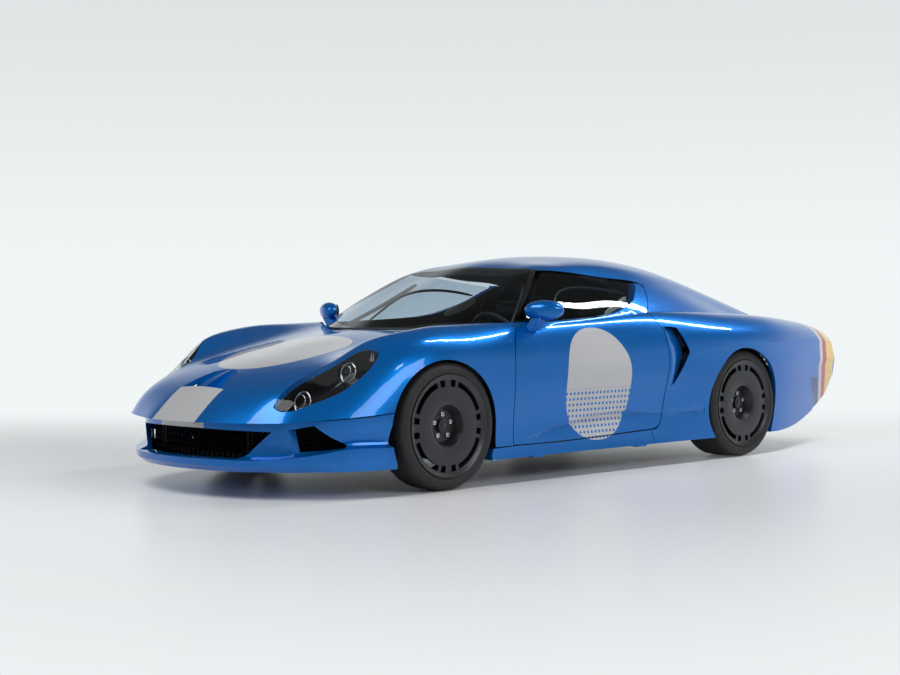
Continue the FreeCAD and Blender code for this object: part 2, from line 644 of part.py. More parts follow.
# Windscreen and the roof
clear_of_body = body_outer.translated(Vector(0, 0, SCREEN_FOOT_GAP))
windscreen = cabin_outer.cut(cabin_glass).cut(clear_of_body).common(screen_zone(26))
node(feature("Windscreen", solids_of(windscreen)), "windscreen")

ROOF_REAR = -505
above_door = side_prism([[(ROOF_REAR, 1019), (-484, 1025), (-214, 1053), (83, 1083), (330, 1094)],
                         [(330, 1094), (500, 1094)], [(500, 1094), (500, 1400)],
                         [(500, 1400), (ROOF_REAR, 1400)], [(ROOF_REAR, 1400), (ROOF_REAR, 1019)]],
                        -WIDE, WIDE)
header_wide = plan_prism([both_sides(HEADER), [(322, -505), (322, -700)], [(322, -700), (-900, -700)],
                          [(-900, -700), (-900, 700)], [(-900, 700), (322, 700)], [(322, 700), (322, 505)]],
                         900, 1400)
roof = cabin_shell.common(above_door).common(header_wide)
node(feature("RoofPanel", solids_of(roof)), "roof_panel")

pillar_band = cabin_shell.cut(screen_zone(24)).cut(header_wide)
over_pillar = straight([(330, 1094), (330, 1400), (1200, 1400), (1200, 700), (742, 700),
                        (742, 821), (646, 893), (529, 968), (424, 1038)])
pillar_band = pillar_band.common(side_prism(over_pillar, -WIDE, WIDE))
foot_band = cabin_shell.common(block((735, 1200), (-820, 820), (700, 1100))).cut(screen_zone(24))
left_frame = pillar_band.fuse(foot_band).common(block((-200, 1400), (0, 900), (600, 1500)))
left_frame = left_frame.cut(clear_of_body)
frame = left_frame.fuse(mirrored(left_frame))
node(feature("WindscreenFrame", solids_of(frame)), "windscreen_frame")

# Curve of the rising underside behind the engine, and the space below it
UNDERSIDE_CURVE = [(-1400, 128), (-1720, 150), (-2060, 222), (-2285, 300), (-2500, 430)]
underside = side_prism([UNDERSIDE_CURVE, [(-2500, 430), (-2500, 0)], [(-2500, 0), (-1400, 0)],
                        [(-1400, 0), (-1400, 128)]], -WIDE, WIDE)
DIFFUSER_WALL = 8
under_diffuser = underside.translated(Vector(0, 0, DIFFUSER_WALL))

# Rear quarters and the lid over the engine
quarter_zone = [[(ROOF_REAR, 1400), (ROOF_REAR, 1008)],
                [(ROOF_REAR, 1008), (-437, 929), (-359, 857)],
                [(-359, 857), (-353, 812), (-380, 765), (-376, 690), (-372, 621), (-364, 492),
                 (-346, 342), (-331, 262), (-303, 224), (-240, 207)],
                [(-240, 207), (-240, 100)], [(-240, 100), (-2060, 100)], [(-2060, 100), (-2060, 1400)],
                [(-2060, 1400), (ROOF_REAR, 1400)]]
LID = straight([(-640, 300), (-700, 318), (-2000, 246), (-2045, 200), (-2045, -200), (-2000, -246),
                (-700, -318), (-640, -300), (-625, -240), (-625, 240)])
LID_GAP = 5
quarter_side = body_wall.common(side_prism(quarter_zone, 0, WIDE)).cut(rear_arch)
quarter_top = cabin_wall.common(side_prism(quarter_zone, 0, WIDE))
lid_hole = plan_prism(inset_segments(LID, -LID_GAP), 500, 1400)
quarter = quarter_side.fuse(quarter_top).cut(lid_hole).cut(underside)
quarter = quarter.cut(block((-3000, 0), (-20, 0), (0, 2000)))
quarter = quarter.cut(scallop_cut).cut(haunch_cut)

# Air intake behind the door: a ramp that sinks rearwards to a pointed lip
INTAKE = [(-388, 778), (-500, 774), (-548, 634), (-421, 457), (-388, 440)]
INTAKE_TURN = (Vector(-388, 868, 600), Vector(0, 0, 1), 20)
intake_zone = side_prism(straight(INTAKE), 600, WIDE)
intake_lip = side_prism(straight(shifted(INTAKE, -34, 0)), 600, WIDE)
quarter = dished(quarter, intake_zone, INTAKE_TURN, intake_lip)
quarter = solids_of(quarter)
node(feature("QuarterLeft", quarter), "quarter_left")
node(feature("QuarterRight", mirrored(quarter)), "quarter_right")

lid = cabin_shell.common(plan_prism(LID, 500, 1400))
REAR_GLASS = straight([(-690, 255), (-720, 265), (-1120, 240), (-1140, 225), (-1140, -225), (-1120, -240),
                       (-720, -265), (-690, -255)])
rear_glass_hole = plan_prism(REAR_GLASS, 500, 1400)
louvres = [block((x, x + 45), (-200 + (x + 1250) * -0.03, 200 - (x + 1250) * -0.03), (500, 1400))
           for x in range(-1900, -1180, 90)]
lid = lid.cut(rear_glass_hole).cut(Part.makeCompound(louvres))
node(feature("EngineCover", solids_of(lid)), "engine_cover")
rear_glass = cabin_outer.cut(cabin_glass).common(plan_prism(inset_segments(REAR_GLASS, 2), 900, 1400))
node(feature("RearWindow", solids_of(rear_glass, 1.0e3)), "rear_window")

# Cut-off tail with its dark recess, lamps and grille
TAIL_SIDE = [[(-2060, 1000), (-2330, 1000)],
             [(-2330, 1000), (-2425, 790), (-2452, 650), (-2440, 530), (-2370, 400), (-2285, 300)],
             [(-2285, 300), (-2060, 200)], [(-2060, 200), (-2060, 1000)]]
TAIL_PLAN = [[(-2000, -900), (-2300, -900)],
             [(-2300, -900), (-2400, -620), (-2448, -380), (-2465, 0), (-2448, 380), (-2400, 620),
              (-2300, 900)],
             [(-2300, 900), (-2000, 900)], [(-2000, 900), (-2000, -900)]]
tail_limits = side_prism(TAIL_SIDE, -WIDE, WIDE).common(plan_prism(TAIL_PLAN, 0, 1200))
tail_solid = body_outer.fuse(cabin_outer).common(tail_limits)
tail_hollow = body_inner.common(tail_limits.translated(Vector(62, 0, 25)))
tail_recess = front_prism([[(-500, 690), (-540, 560), (-470, 440)], [(-470, 440), (470, 440)],
                           [(470, 440), (540, 560), (500, 690)], [(500, 690), (0, 712), (-500, 690)]],
                          -2600, -2392)
recess_depth = tail_limits.translated(Vector(38, 0, 0))
tail = tail_solid.cut(tail_hollow).cut(tail_recess.cut(recess_depth))
TAIL_OPENING = block((-2600, -2300), (-240, 240), (480, 680))
TAIL_LAMP_PLACES = [(322, 585, 46), (432, 585, 46)]
EXHAUST_PLACES = [(-75, 372), (75, 372)]
EXHAUST_RADIUS = 44


def rod_along_x(x_rear, x_front, y, z, radius):
    return Part.makeCylinder(radius, x_front - x_rear, Vector(x_rear, y, z), Vector(1, 0, 0))


exhaust_holes = [rod_along_x(-2600, -2200, y, z, EXHAUST_RADIUS) for y, z in EXHAUST_PLACES]
tow_boss, tow_bore = tow_socket(-2404, -300, 425, -1)
tail = tail.fuse(tow_boss)
tail = tail.cut(Part.makeCompound([TAIL_OPENING, tow_bore] + exhaust_holes))
tail = tail.cut(under_diffuser).cut(haunch_cut).cut(mirrored(haunch_cut))
tail = solids_of(tail)
node(feature("TailSection", tail), "tail_section")

rear_mesh = TAIL_OPENING.common(recess_depth).cut(tail_limits.translated(Vector(46, 0, 0)))
cells = [block((-2600, -2200), (y, y + 26), (z, z + 26)) for y in range(-236, 220, 32)
         for z in range(484, 660, 32)]
node(feature("RearGrille", solids_of(rear_mesh.cut(Part.makeCompound(cells)), 100)), "rear_grille")

lamps = []
for y, z, radius in TAIL_LAMP_PLACES:
    for side in (-1, 1):
        lamp = rod_along_x(-2444, -2380, side * y, z, radius).cut(tail)
        lamps.append(max(lamp.Solids, key=lambda s: -s.CenterOfMass.x))
node(feature("TailLamps", Part.makeCompound(lamps)), "tail_lamps")

tips = []
for y, z in EXHAUST_PLACES:
    tip = rod_along_x(-2458, -2120, y, z, EXHAUST_RADIUS)
    tips.append(tip.cut(rod_along_x(-2500, -2180, y, z, EXHAUST_RADIUS - 5)))
node(feature("ExhaustTips", Part.makeCompound(tips)), "exhaust_tips")

# Underside: flat panels, floor of the tub and the rising tunnel at the rear
diffuser_band = under_diffuser.cut(underside).common(block((-2292, -1400), (-WIDE, WIDE), (100, 400)))
diffuser = diffuser_band.common(body_inner)
strake_side = side_prism([[(-1700, 149), (-2060, 224), (-2300, 310)], [(-2300, 310), (-2310, 262)],
                          [(-2310, 262), (-1760, 128)], [(-1760, 128), (-1700, 149)]], -3, 3)
strakes = [strake_side.translated(Vector(0, y, 0)) for y in (-420, -210, 210, 420)]
diffuser = diffuser.multiFuse(strakes).cut(tail)
node(feature("RearDiffuser", solids_of(diffuser)), "rear_diffuser")

FLOOR_Z = dim("floor_z")
FLOOR_TOP = FLOOR_Z + dim("floor_wall")
PANEL_TOP = FLOOR_Z + 8
front_panel = plan_prism(straight([(900, -780), (960, -780), (1000, -500), (1700, -500), (1720, -700),
                                   (1760, -700), (1760, 700), (1720, 700), (1700, 500), (1000, 500),
                                   (960, 780), (900, 780)]), FLOOR_Z, PANEL_TOP)
rear_panel = plan_prism(straight([(-540, -780), (-650, -780), (-700, -555), (-1400, -555), (-1400, 555),
                                  (-700, 555), (-650, 780), (-540, 780)]), FLOOR_Z, PANEL_TOP)
node(feature("UnderbodyPanels", Part.makeCompound([front_panel, rear_panel])), "underbody_panels")

SILL_INNER = 792
tub_floor = block((-540, 900), (-SILL_INNER, SILL_INNER), (FLOOR_Z, FLOOR_TOP))
tub_sides = [block((-540, 900), (y, y + 80), (FLOOR_TOP, 330)) for y in (-780, 700)]
front_bulkhead = block((878, 900), (-700, 700), (FLOOR_TOP, 700))
tub = tub_floor.multiFuse(tub_sides + [front_bulkhead])
node(feature("FloorTub", tub), "floor_tub")

bulkhead_slab = block((-540, -518), (-2000, 2000), (FLOOR_TOP, 1400))
bulkhead = body_inner.common(bulkhead_slab).fuse(cabin_inner.common(bulkhead_slab))
bulkhead = bulkhead.cut(block((-600, -500), (-300, 300), (900, 1080))).cut(tub)
outside_ramp = intake_zone.cut(turned_about(body_glass, *INTAKE_TURN))
bulkhead = bulkhead.cut(outside_ramp).cut(mirrored(outside_ramp))
node(feature("RearBulkhead", solids_of(bulkhead)), "rear_bulkhead")

# Frames that carry the suspension
ARM_PIVOT_Y = 380
RAIL = (340, ARM_PIVOT_Y)


def suspension_frame(axle_x, x_rear, x_front, cross_members):
    pieces = []
    for y_low, y_high in (RAIL, (-RAIL[1], -RAIL[0])):
        pieces.append(block((x_rear, x_front), (y_low, y_high), (150, 230)))
        pieces.append(block((axle_x - 130, axle_x + 130), (y_low, y_high), (230, 450)))
    for x in cross_members:
        pieces.append(block((x - 20, x + 20), (-RAIL[1], RAIL[1]), (150, 200)))
    return pieces


front_frame = suspension_frame(FRONT_AXLE, 900, 2160, (1150, 1550, 2120))
for x in (1000, 1640):
    front_frame.append(block((x, x + 40), (-505, 505), (160, 200)))
NOSE_PLATE = (339, 347)
front_frame.append(block((2100, 2330), (-RAIL[1], RAIL[1]), NOSE_PLATE).common(nose_core))
front_frame += [block((2100, 2160), rail, (150, NOSE_PLATE[1])) for rail in (RAIL, (-RAIL[1], -RAIL[0]))]
front_frame = front_frame[0].multiFuse(front_frame[1:])
node(feature("FrontSubframe", solids_of(front_frame)), "front_subframe")

ENGINE_BOTTOM = 200
rear_frame = suspension_frame(REAR_AXLE, -1900, -540, (-700, -1300, -1850))
SHAFT_RADIUS = 18
rear_frame = rear_frame[0].multiFuse(rear_frame[1:])
shaft_way = Part.makeCylinder(SHAFT_RADIUS, 1200, Vector(REAR_AXLE, -600, HUB_Z), Vector(0, 1, 0))
rear_frame = rear_frame.cut(shaft_way)
rear_frame = rear_frame.cut(under_diffuser)
node(feature("RearSubframe", solids_of(rear_frame)), "rear_subframe")

engine = doc.addObject("Part::Box", "EngineBlock")
engine.setExpression("Length", "dims.engine_length")
engine.setExpression("Width", "dims.engine_width")
engine.setExpression("Height", "dims.engine_height")
engine.setExpression("Placement.Base.x", "dims.rear_axle_x - 215 + dims.origin_shift")
engine.setExpression("Placement.Base.y", "-dims.engine_width / 2")
engine.setExpression("Placement.Base.z", str(ENGINE_BOTTOM))
node(engine, "engine_block")


def bar(start, end, radius):
    start, end = Vector(*start), Vector(*end)
    return Part.makeCylinder(radius, (end - start).Length, start, end - start)


KINGPIN_Y = dim("kingpin_y")
PIN_RADIUS = 10
LUG_LOW = 176
LUG_HIGH = 456


def suspension_arms(axle_x):
    """Lower and upper wishbone of the left side, each with the pin that its ball joint turns on."""
    pieces = []
    for z, pivot_z, spread_x, pin_from, pin_to in ((154, 190, 110, 154, 188), (478, 430, 90, 444, 478)):
        hub = (axle_x, KINGPIN_Y, z)
        pieces.append(Part.makeCylinder(20, 16, Vector(axle_x, KINGPIN_Y, z - 8)))
        pieces.append(Part.makeCylinder(PIN_RADIUS, pin_to - pin_from, Vector(axle_x, KINGPIN_Y, pin_from)))
        for side in (-1, 1):
            pieces.append(bar((axle_x + side * spread_x, ARM_PIVOT_Y, pivot_z), hub, 11))
    return pieces


def coil_over(axle_x, side):
    """Spring and damper unit from the frame down to the lower arm on the given side."""
    top = (axle_x + side * 45, ARM_PIVOT_Y, 440)
    foot = (axle_x + side * 44.6, 600, 169)
    return [bar(top, foot, 14)]


arms = suspension_arms(FRONT_AXLE)
arms = arms[0].multiFuse(arms[1:] + coil_over(FRONT_AXLE, 1))
arms = arms.cut(block((1000, 1700), (0, ARM_PIVOT_Y), (0, 700)))
node(feature("FrontWishbones", Part.makeCompound(arms.Solids + mirrored(arms).Solids)), "front_wishbones")


def upright(axle_x, caliper_side):
    """Left wheel carrier with its bearing, lugs and brake caliper."""
    pieces = [Part.makeCylinder(42, 94, Vector(axle_x, 700, HUB_Z), Vector(0, 1, 0)),
              block((axle_x - 40, axle_x + 40), (735, 765), (LUG_LOW - 8, LUG_HIGH + 8))]
    for z in (LUG_LOW, LUG_HIGH):
        pieces.append(Part.makeCylinder(22, 16, Vector(axle_x, KINGPIN_Y, z - 8)))
    carrier = pieces[0].multiFuse(pieces[1:])
    ring = Part.makeCylinder(185, 85, Vector(axle_x, 745, HUB_Z), Vector(0, 1, 0))
    ring = ring.cut(Part.makeCylinder(112, 100, Vector(axle_x, 740, HUB_Z), Vector(0, 1, 0)))
    wedge = side_prism(straight([(axle_x, HUB_Z), (axle_x + caliper_side * 300, HUB_Z - 120),
                                 (axle_x + caliper_side * 300, HUB_Z + 160)]), 700, 900)
    caliper = ring.common(wedge)
    disc_slot = Part.makeCylinder(dim("brake_radius") + 7, 38, Vector(axle_x, 765, HUB_Z), Vector(0, 1, 0))
    caliper = caliper.cut(disc_slot)
    bracket = block(sorted((axle_x, axle_x + caliper_side * 150)), (745, 760), (HUB_Z - 30, HUB_Z + 40))
    return carrier.fuse(caliper).fuse(bracket)


def pin_bores(axle_x):
    return [Part.makeCylinder(PIN_RADIUS + 0.3, 60, Vector(axle_x, KINGPIN_Y, z - 30))
            for z in (LUG_LOW, LUG_HIGH)]


pin_relief = [block((FRONT_AXLE - 16, FRONT_AXLE + 16), (730, 770), (z_low, z_high))
              for z_low, z_high in ((LUG_LOW + 8, LUG_LOW + 22), (LUG_HIGH - 22, LUG_HIGH - 8))]
knuckle = solids_of(upright(FRONT_AXLE, -1).cut(Part.makeCompound(pin_bores(FRONT_AXLE) + pin_relief)))
node(feature("KnuckleLeft", knuckle), "knuckle_left")
node(feature("KnuckleRight", mirrored(knuckle)), "knuckle_right")

rear_arms = suspension_arms(REAR_AXLE)
half_shaft = bar((REAR_AXLE, 240, HUB_Z), (REAR_AXLE, 705, HUB_Z), SHAFT_RADIUS)
rear_side = upright(REAR_AXLE, 1).multiFuse(rear_arms + coil_over(REAR_AXLE, -1))
rear_side = rear_side.cut(block((-1400, -800), (0, ARM_PIVOT_Y), (0, 700))).fuse(half_shaft)
rear_side = max(rear_side.Solids, key=lambda s: s.Volume)
node(feature("RearSuspension", Part.makeCompound([rear_side, mirrored(rear_side)])), "rear_suspension")


# Wheel-arch liners
def liner(x, z, radius, y_inner, y_outer, wall_gap):
    bent = Part.makeCylinder(radius + 4, y_outer - y_inner, Vector(x, y_inner, z), Vector(0, 1, 0))
    bent = bent.cut(Part.makeCylinder(radius, y_outer, Vector(x, y_inner + 5, z), Vector(0, 1, 0)))
    bent = bent.cut(block((x - 600, x + 600), (0, WIDE), (-400, PANEL_TOP)))
    return bent.cut(block((x - wall_gap, x + wall_gap), (y_inner - 1, y_inner + 6), (0, z + 200)))


front_liner = liner(1345, 300, 352, 505, 800, 160)
front_liner = front_liner.cut(sill).cut(bumper)
node(feature("FrontLiners", Part.makeCompound([front_liner, mirrored(front_liner)])), "front_wheel_liners")
rear_liner = liner(REAR_AXLE, 306, 345, 555, 850, 160)
rear_liner = solids_of(rear_liner.cut(quarter))
node(feature("RearLiners", Part.makeCompound([rear_liner, mirrored(rear_liner)])), "rear_wheel_liners")

# Cabin
dash_side = side_prism([[(878, 560), (878, 740)],
                        [(878, 740), (800, 775), (700, 782), (600, 760), (560, 710)],
                        [(560, 710), (620, 600), (700, 540)], [(700, 540), (878, 560)]], -690, 690)
node(feature("Dashboard", dash_side), "dashboard")
console = side_prism([[(878, FLOOR_TOP), (878, 560)], [(878, 560), (700, 540), (560, 470), (300, 400),
                                                      (-200, 370), (-518, 380)],
                      [(-518, 380), (-518, FLOOR_TOP)], [(-518, FLOOR_TOP), (878, FLOOR_TOP)]], -95, 95)
node(feature("CentreConsole", console.cut(dash_side)), "centre_console")

SEAT_Y = 345
seat_profile = [[(300, FLOOR_TOP), (320, 250), (300, 330)], [(300, 330), (100, 290), (-110, 280)],
                [(-110, 280), (-210, 480), (-300, 760), (-330, 930)],
                [(-330, 930), (-370, 965), (-420, 950)],
                [(-420, 950), (-400, 760), (-330, 480), (-260, 230), (-240, FLOOR_TOP)],
                [(-240, FLOOR_TOP), (300, FLOOR_TOP)]]
seats = [side_prism(seat_profile, y - 235, y + 235) for y in (-SEAT_Y, SEAT_Y)]
node(feature("Seats", Part.makeCompound(seats)), "seats")

WHEEL_TILT = 24
rim_ring = Part.makeTorus(172, 14)
hub_disc = Part.makeCylinder(42, 26, Vector(0, 0, -20))
spokes = [Part.makeBox(170, 30, 10, Vector(0, -15, -12)) for _ in range(3)]
for spoke, angle in zip(spokes, (0, 180, 270)):
    spoke.rotate(Vector(0, 0, 0), Vector(0, 0, 1), angle)
column = Part.makeCylinder(24, 300, Vector(0, 0, -300))
steering = rim_ring.multiFuse([hub_disc, column] + spokes)
steering.Placement = Placement(Vector(470, SEAT_Y, 700), Rotation(Vector(0, 1, 0), -90 + WHEEL_TILT))
steering = solids_of(steering.cut(dash_side))
node(feature("SteeringWheel", steering), "steering_wheel")

# Door mirrors
MIRROR_CENTRE = Vector(653, 871, 877)
MIRROR_SWEEP = 30
MIRROR_HALF = {"length": 106, "depth": 54, "height": 52}
MIRROR_RINGS = [(-0.96, 0.30), (-0.80, 0.62), (-0.45, 0.90), (0, 1), (0.45, 0.90), (0.80, 0.62),
                (0.96, 0.30)]


def mirror_ring(along, size):
    """Rounded cross-section of the mirror's shell, square to its own length."""
    ring = Part.BSplineCurve()
    corners = [(1, 0), (0.74, 0.70), (0, 1), (-0.74, 0.70), (-1, 0), (-0.74, -0.70), (0, -1), (0.74, -0.70)]
    half_depth = MIRROR_HALF["depth"] * size
    half_height = MIRROR_HALF["height"] * size
    y = along * MIRROR_HALF["length"]
    ring.interpolate([Vector(half_depth * a, y, half_height * b) for a, b in corners], PeriodicFlag=True)
    return Part.Wire(ring.toShape())


head = Part.makeLoft([mirror_ring(*ring) for ring in MIRROR_RINGS], True)
head.rotate(Vector(0, 0, 0), Vector(0, 0, 1), MIRROR_SWEEP)
head.translate(MIRROR_CENTRE)
stalk = side_prism(straight([(640, 770), (708, 770), (690, 868), (640, 868)]), 700, 960)
stalk_front = straight([(776, 770), (812, 770), (880, 838), (880, 868), (838, 868)])
stalk = stalk.common(front_prism(stalk_front, 500, 800))
mirror = head.fuse(stalk).cut(door)
mirror = max(mirror.Solids, key=lambda s: s.Volume)
node(feature("MirrorLeft", mirror), "mirror_left")
node(feature("MirrorRight", mirrored(mirror)), "mirror_right")

# Wheels, each a revolved rim with its slots, brake disc and tyre
SLOT_GROUPS = 4
HUB_RECESS = 66


def plane_of(body, role):
    return [f for f in body.Origin.OriginFeatures if f.Role == role][0]


def closed_sketch(body, name, role, points):
    sketch = body.newObject("Sketcher::SketchObject", name)
    sketch.AttachmentSupport = [(plane_of(body, role), "")]
    sketch.MapMode = "FlatFace"
    for (a, b), (c, d) in zip(points, points[1:] + points[:1]):
        sketch.addGeometry(Part.LineSegment(Vector(a, b, 0), Vector(c, d, 0)))
    return sketch


def revolved(body, name, points):
    """Ring about the wheel's own Y axis, its outline given as (radius, y)."""
    sketch = closed_sketch(body, name + "Sketch", "XY_Plane", points)
    turn = body.newObject("PartDesign::Revolution", name)
    turn.Profile = sketch
    turn.ReferenceAxis = (sketch, ["V_Axis"])
    turn.Angle = 360
    return turn


def polar(radius, degrees):
    angle = math.radians(degrees)
    return (radius * math.cos(angle), radius * math.sin(angle))


def arc_slot(inner, outer, middle, half_angle, steps):
    angles = [middle - half_angle + 2 * half_angle * i / steps for i in range(steps + 1)]
    return [polar(outer, a) for a in angles] + [polar(inner, a) for a in reversed(angles)]


def place_wheel(body, axle, side):
    body.setExpression("Placement.Base.x", f"dims.{axle}_axle_x + dims.origin_shift")
    body.setExpression("Placement.Base.y", f"{side} * (dims.wheel_face_y - dims.{axle}_tyre_width / 2)")
    body.setExpression("Placement.Base.z", "dims.axle_height")
    if side < 0:
        body.setExpression("Placement.Rotation.Axis.z", "1")
        body.setExpression("Placement.Rotation.Angle", "180")


def make_rim(axle, side, name):
    half = dim(f"{axle}_tyre_width") / 2
    bead = dim("bead_radius")
    flange = dim("rim_radius")
    body = doc.addObject("PartDesign::Body", name)
    revolved(body, name + "Rim", [
        (0, half - HUB_RECESS), (82, half - HUB_RECESS), (104, half - 15), (112, half - 12),
        (160, half - 10), (230, half - 14), (238, half - 10), (246, half - 3), (flange, half - 1),
        (flange, half - 9), (bead, half - 11.5),
        (bead, -half + 11.5), (flange, -half + 9), (flange, -half + 2), (bead - 8, -half + 2),
        (bead - 8, half - 32), (222, half - 26), (116, half - 25), (92, half - 80), (0, half - 80)])
    revolved(body, name + "Disc", [
        (60, half - 78), (60, half - 86), (92, half - 86), (92, half - 103),
        (dim("brake_radius"), half - 103), (dim("brake_radius"), half - 79), (98, half - 79),
        (98, half - 78)])
    doc.recompute()
    cuts = [arc_slot(200, 227, 45, 26, 8), arc_slot(194, 227, 9.5, 4.2, 2),
            arc_slot(194, 227, -9.5, 4.2, 2)]
    pockets = []
    for number, cut in enumerate(cuts):
        sketch = closed_sketch(body, f"{name}Slot{number}", "XZ_Plane", cut)
        pocket = body.newObject("PartDesign::Pocket", f"{name}Pocket{number}")
        pocket.Profile = sketch
        pocket.Type = 1
        pocket.Midplane = True
        pockets.append(pocket)
    doc.recompute()
    pattern = body.newObject("PartDesign::PolarPattern", name + "Pattern")
    pattern.Originals = pockets
    pattern.Axis = (plane_of(body, "Y_Axis"), [""])
    pattern.Angle = 360
    pattern.Occurrences = SLOT_GROUPS
    body.Tip = pattern
    place_wheel(body, axle, side)
    return body


def make_tyre(axle, side, name):
    half = dim(f"{axle}_tyre_width") / 2
    bead = dim("bead_radius")
    crown = dim("tyre_radius")
    body = doc.addObject("PartDesign::Body", name)
    left = [(bead, half - 12), (254.5, half - 9.5), (262, half - 3), (275, half), (295, half - 5),
            (306, half - 14), (crown - 3, half - 28), (crown, half - 60)]
    revolved(body, name + "Ring", left + [(r, -y) for r, y in reversed(left)])
    place_wheel(body, axle, side)
    return body


for axle in ("front", "rear"):
    for side, word in ((1, "left"), (-1, "right")):
        rim = make_rim(axle, side, f"Rim{axle.title()}{word.title()}")
        node(rim, f"wheel_{axle}_{word}")
        tyre = make_tyre(axle, side, f"Tyre{axle.title()}{word.title()}")
        node(tyre, f"tyre_{axle}_{word}")

doc.recompute()
for obj in doc.Objects:
    if "Invalid" in obj.State or "Error" in obj.State:
        raise RuntimeError(f"{obj.Name} failed: {obj.State}")
for obj in NODES:
    if obj.Shape.isNull() or not obj.Shape.isValid():
        raise RuntimeError(f"{obj.Label} has no valid shape")
for obj in NODES:
    obj.Shape.exportStep(f"parts/{obj.Label}.step")
    print(obj.Label, len(obj.Shape.Solids), round(obj.Shape.Volume / 1e9, 5))
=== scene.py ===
# %% [markdown]
# # A two-seat, mid-engined sports car in blue paint
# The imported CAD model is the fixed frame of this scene: every panel, wheel and lamp is already in its
# place, in metres, with the nose along +X, the car's left side along +Y and the ground at Z = 0. This
# script gives each part its finish and adds what a workshop would fit last: tyre tread, wheel bolts,
# lamp rings, padded seats, trim strips and the paint scheme. It starts by loading the frame and keeping
# its size.

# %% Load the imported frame
import json
import math
from math import cos, radians, sin

import bpy
from mathutils import Matrix, Vector

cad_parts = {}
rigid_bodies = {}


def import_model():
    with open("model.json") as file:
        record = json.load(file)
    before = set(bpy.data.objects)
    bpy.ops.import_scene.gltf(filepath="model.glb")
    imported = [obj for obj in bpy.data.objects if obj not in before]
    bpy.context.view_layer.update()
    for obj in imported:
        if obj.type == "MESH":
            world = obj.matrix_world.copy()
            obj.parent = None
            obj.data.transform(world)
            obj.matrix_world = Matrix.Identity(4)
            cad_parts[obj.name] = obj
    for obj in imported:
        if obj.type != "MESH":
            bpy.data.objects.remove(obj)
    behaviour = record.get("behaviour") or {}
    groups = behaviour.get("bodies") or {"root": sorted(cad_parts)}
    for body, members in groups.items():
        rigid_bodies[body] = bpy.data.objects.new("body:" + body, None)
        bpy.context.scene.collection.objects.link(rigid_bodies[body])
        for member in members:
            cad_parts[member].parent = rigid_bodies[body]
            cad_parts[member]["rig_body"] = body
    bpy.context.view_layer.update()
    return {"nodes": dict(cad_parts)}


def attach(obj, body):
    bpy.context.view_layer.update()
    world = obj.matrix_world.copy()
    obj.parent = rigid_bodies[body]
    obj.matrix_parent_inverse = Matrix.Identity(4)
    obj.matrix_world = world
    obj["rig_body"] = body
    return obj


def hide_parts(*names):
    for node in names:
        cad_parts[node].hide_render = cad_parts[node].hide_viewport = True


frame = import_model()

# %% [markdown]
# Many later steps pick one object, change its mesh in edit mode and go back. Small helpers keep that
# short: they select a single object, enter and leave edit mode, and copy a CAD node. The CAD meshes are
# loose triangles, so a copy first has its double points merged, and can then be shaded smooth wherever
# two faces meet at less than a given angle.


# %% Helpers for picking and copying
def pick(piece):
    """Makes one object the only selected and the active one."""
    bpy.ops.object.select_all(action="DESELECT")
    piece.select_set(True)
    bpy.context.view_layer.objects.active = piece


def edit_all(piece):
    """Leaves the piece in edit mode with everything selected."""
    pick(piece)
    bpy.ops.object.mode_set(mode="EDIT")
    bpy.ops.mesh.select_all(action="SELECT")


def leave_edit():
    bpy.ops.object.mode_set(mode="OBJECT")


def merge_points(piece, distance):
    edit_all(piece)
    bpy.ops.mesh.remove_doubles(threshold=distance)
    leave_edit()


def body_of(node):
    return frame["nodes"][node]["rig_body"]


def smooth_copy(node, finish, angle=32):
    """A merged, smoothly shaded copy of a CAD node, which stands for it from here on."""
    source = frame["nodes"][node]
    piece = bpy.data.objects.new(node + "_finished", source.data.copy())
    bpy.context.scene.collection.objects.link(piece)
    merge_points(piece, 2e-5)
    pick(piece)
    if piece.data.has_custom_normals:
        bpy.ops.mesh.customdata_custom_splitnormals_clear()
    bpy.ops.object.shade_smooth_by_angle(angle=radians(angle))
    piece.data.materials.clear()
    piece.data.materials.append(finish)
    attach(piece, body_of(node))
    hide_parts(node)
    return piece


def second_finish(piece, finish, chosen):
    """Gives another material to the faces for which chosen(middle, normal) is true."""
    piece.data.materials.append(finish)
    number = len(piece.data.materials) - 1
    count = 0
    for face in piece.data.polygons:
        if chosen(face.center, face.normal):
            face.material_index = number
            count += 1
    return count


# %% [markdown]
# The photograph was taken from ahead of the car's left front corner with a long lens, from about
# chest height. The camera's place, its three angles and its focal length are measured values, and the
# matrix is built from the direction it looks along, so that nothing depends on a tracking constraint.

# %% Camera at the photograph's viewpoint
CAMERA_PLACE = Vector((6.743, 6.460, 0.9028))
CAMERA_HEADING = radians(-133.825)
CAMERA_DIP = radians(1.140)
CAMERA_ROLL = radians(-0.370)
FOCAL_LENGTH_MM = 63.64
SENSOR_MM = 36
CAMERA_FAR_LIMIT = 200

bpy.ops.object.camera_add(location=(0, 0, 0))
camera = bpy.context.object
camera.name = "Camera"
look = Vector((cos(CAMERA_HEADING) * cos(CAMERA_DIP), sin(CAMERA_HEADING) * cos(CAMERA_DIP),
               -sin(CAMERA_DIP)))
level_right = Vector((sin(CAMERA_HEADING), -cos(CAMERA_HEADING), 0))
level_up = level_right.cross(look)
image_right = level_right * cos(CAMERA_ROLL) + level_up * sin(CAMERA_ROLL)
image_up = -level_right * sin(CAMERA_ROLL) + level_up * cos(CAMERA_ROLL)
camera_turn = Matrix((image_right, image_up, -look)).transposed()
camera.matrix_world = Matrix.Translation(CAMERA_PLACE) @ camera_turn.to_4x4()
camera.data.lens = FOCAL_LENGTH_MM
camera.data.sensor_width = SENSOR_MM
camera.data.clip_end = CAMERA_FAR_LIMIT
bpy.context.scene.camera = camera
bpy.context.scene.view_settings.view_transform = "Standard"
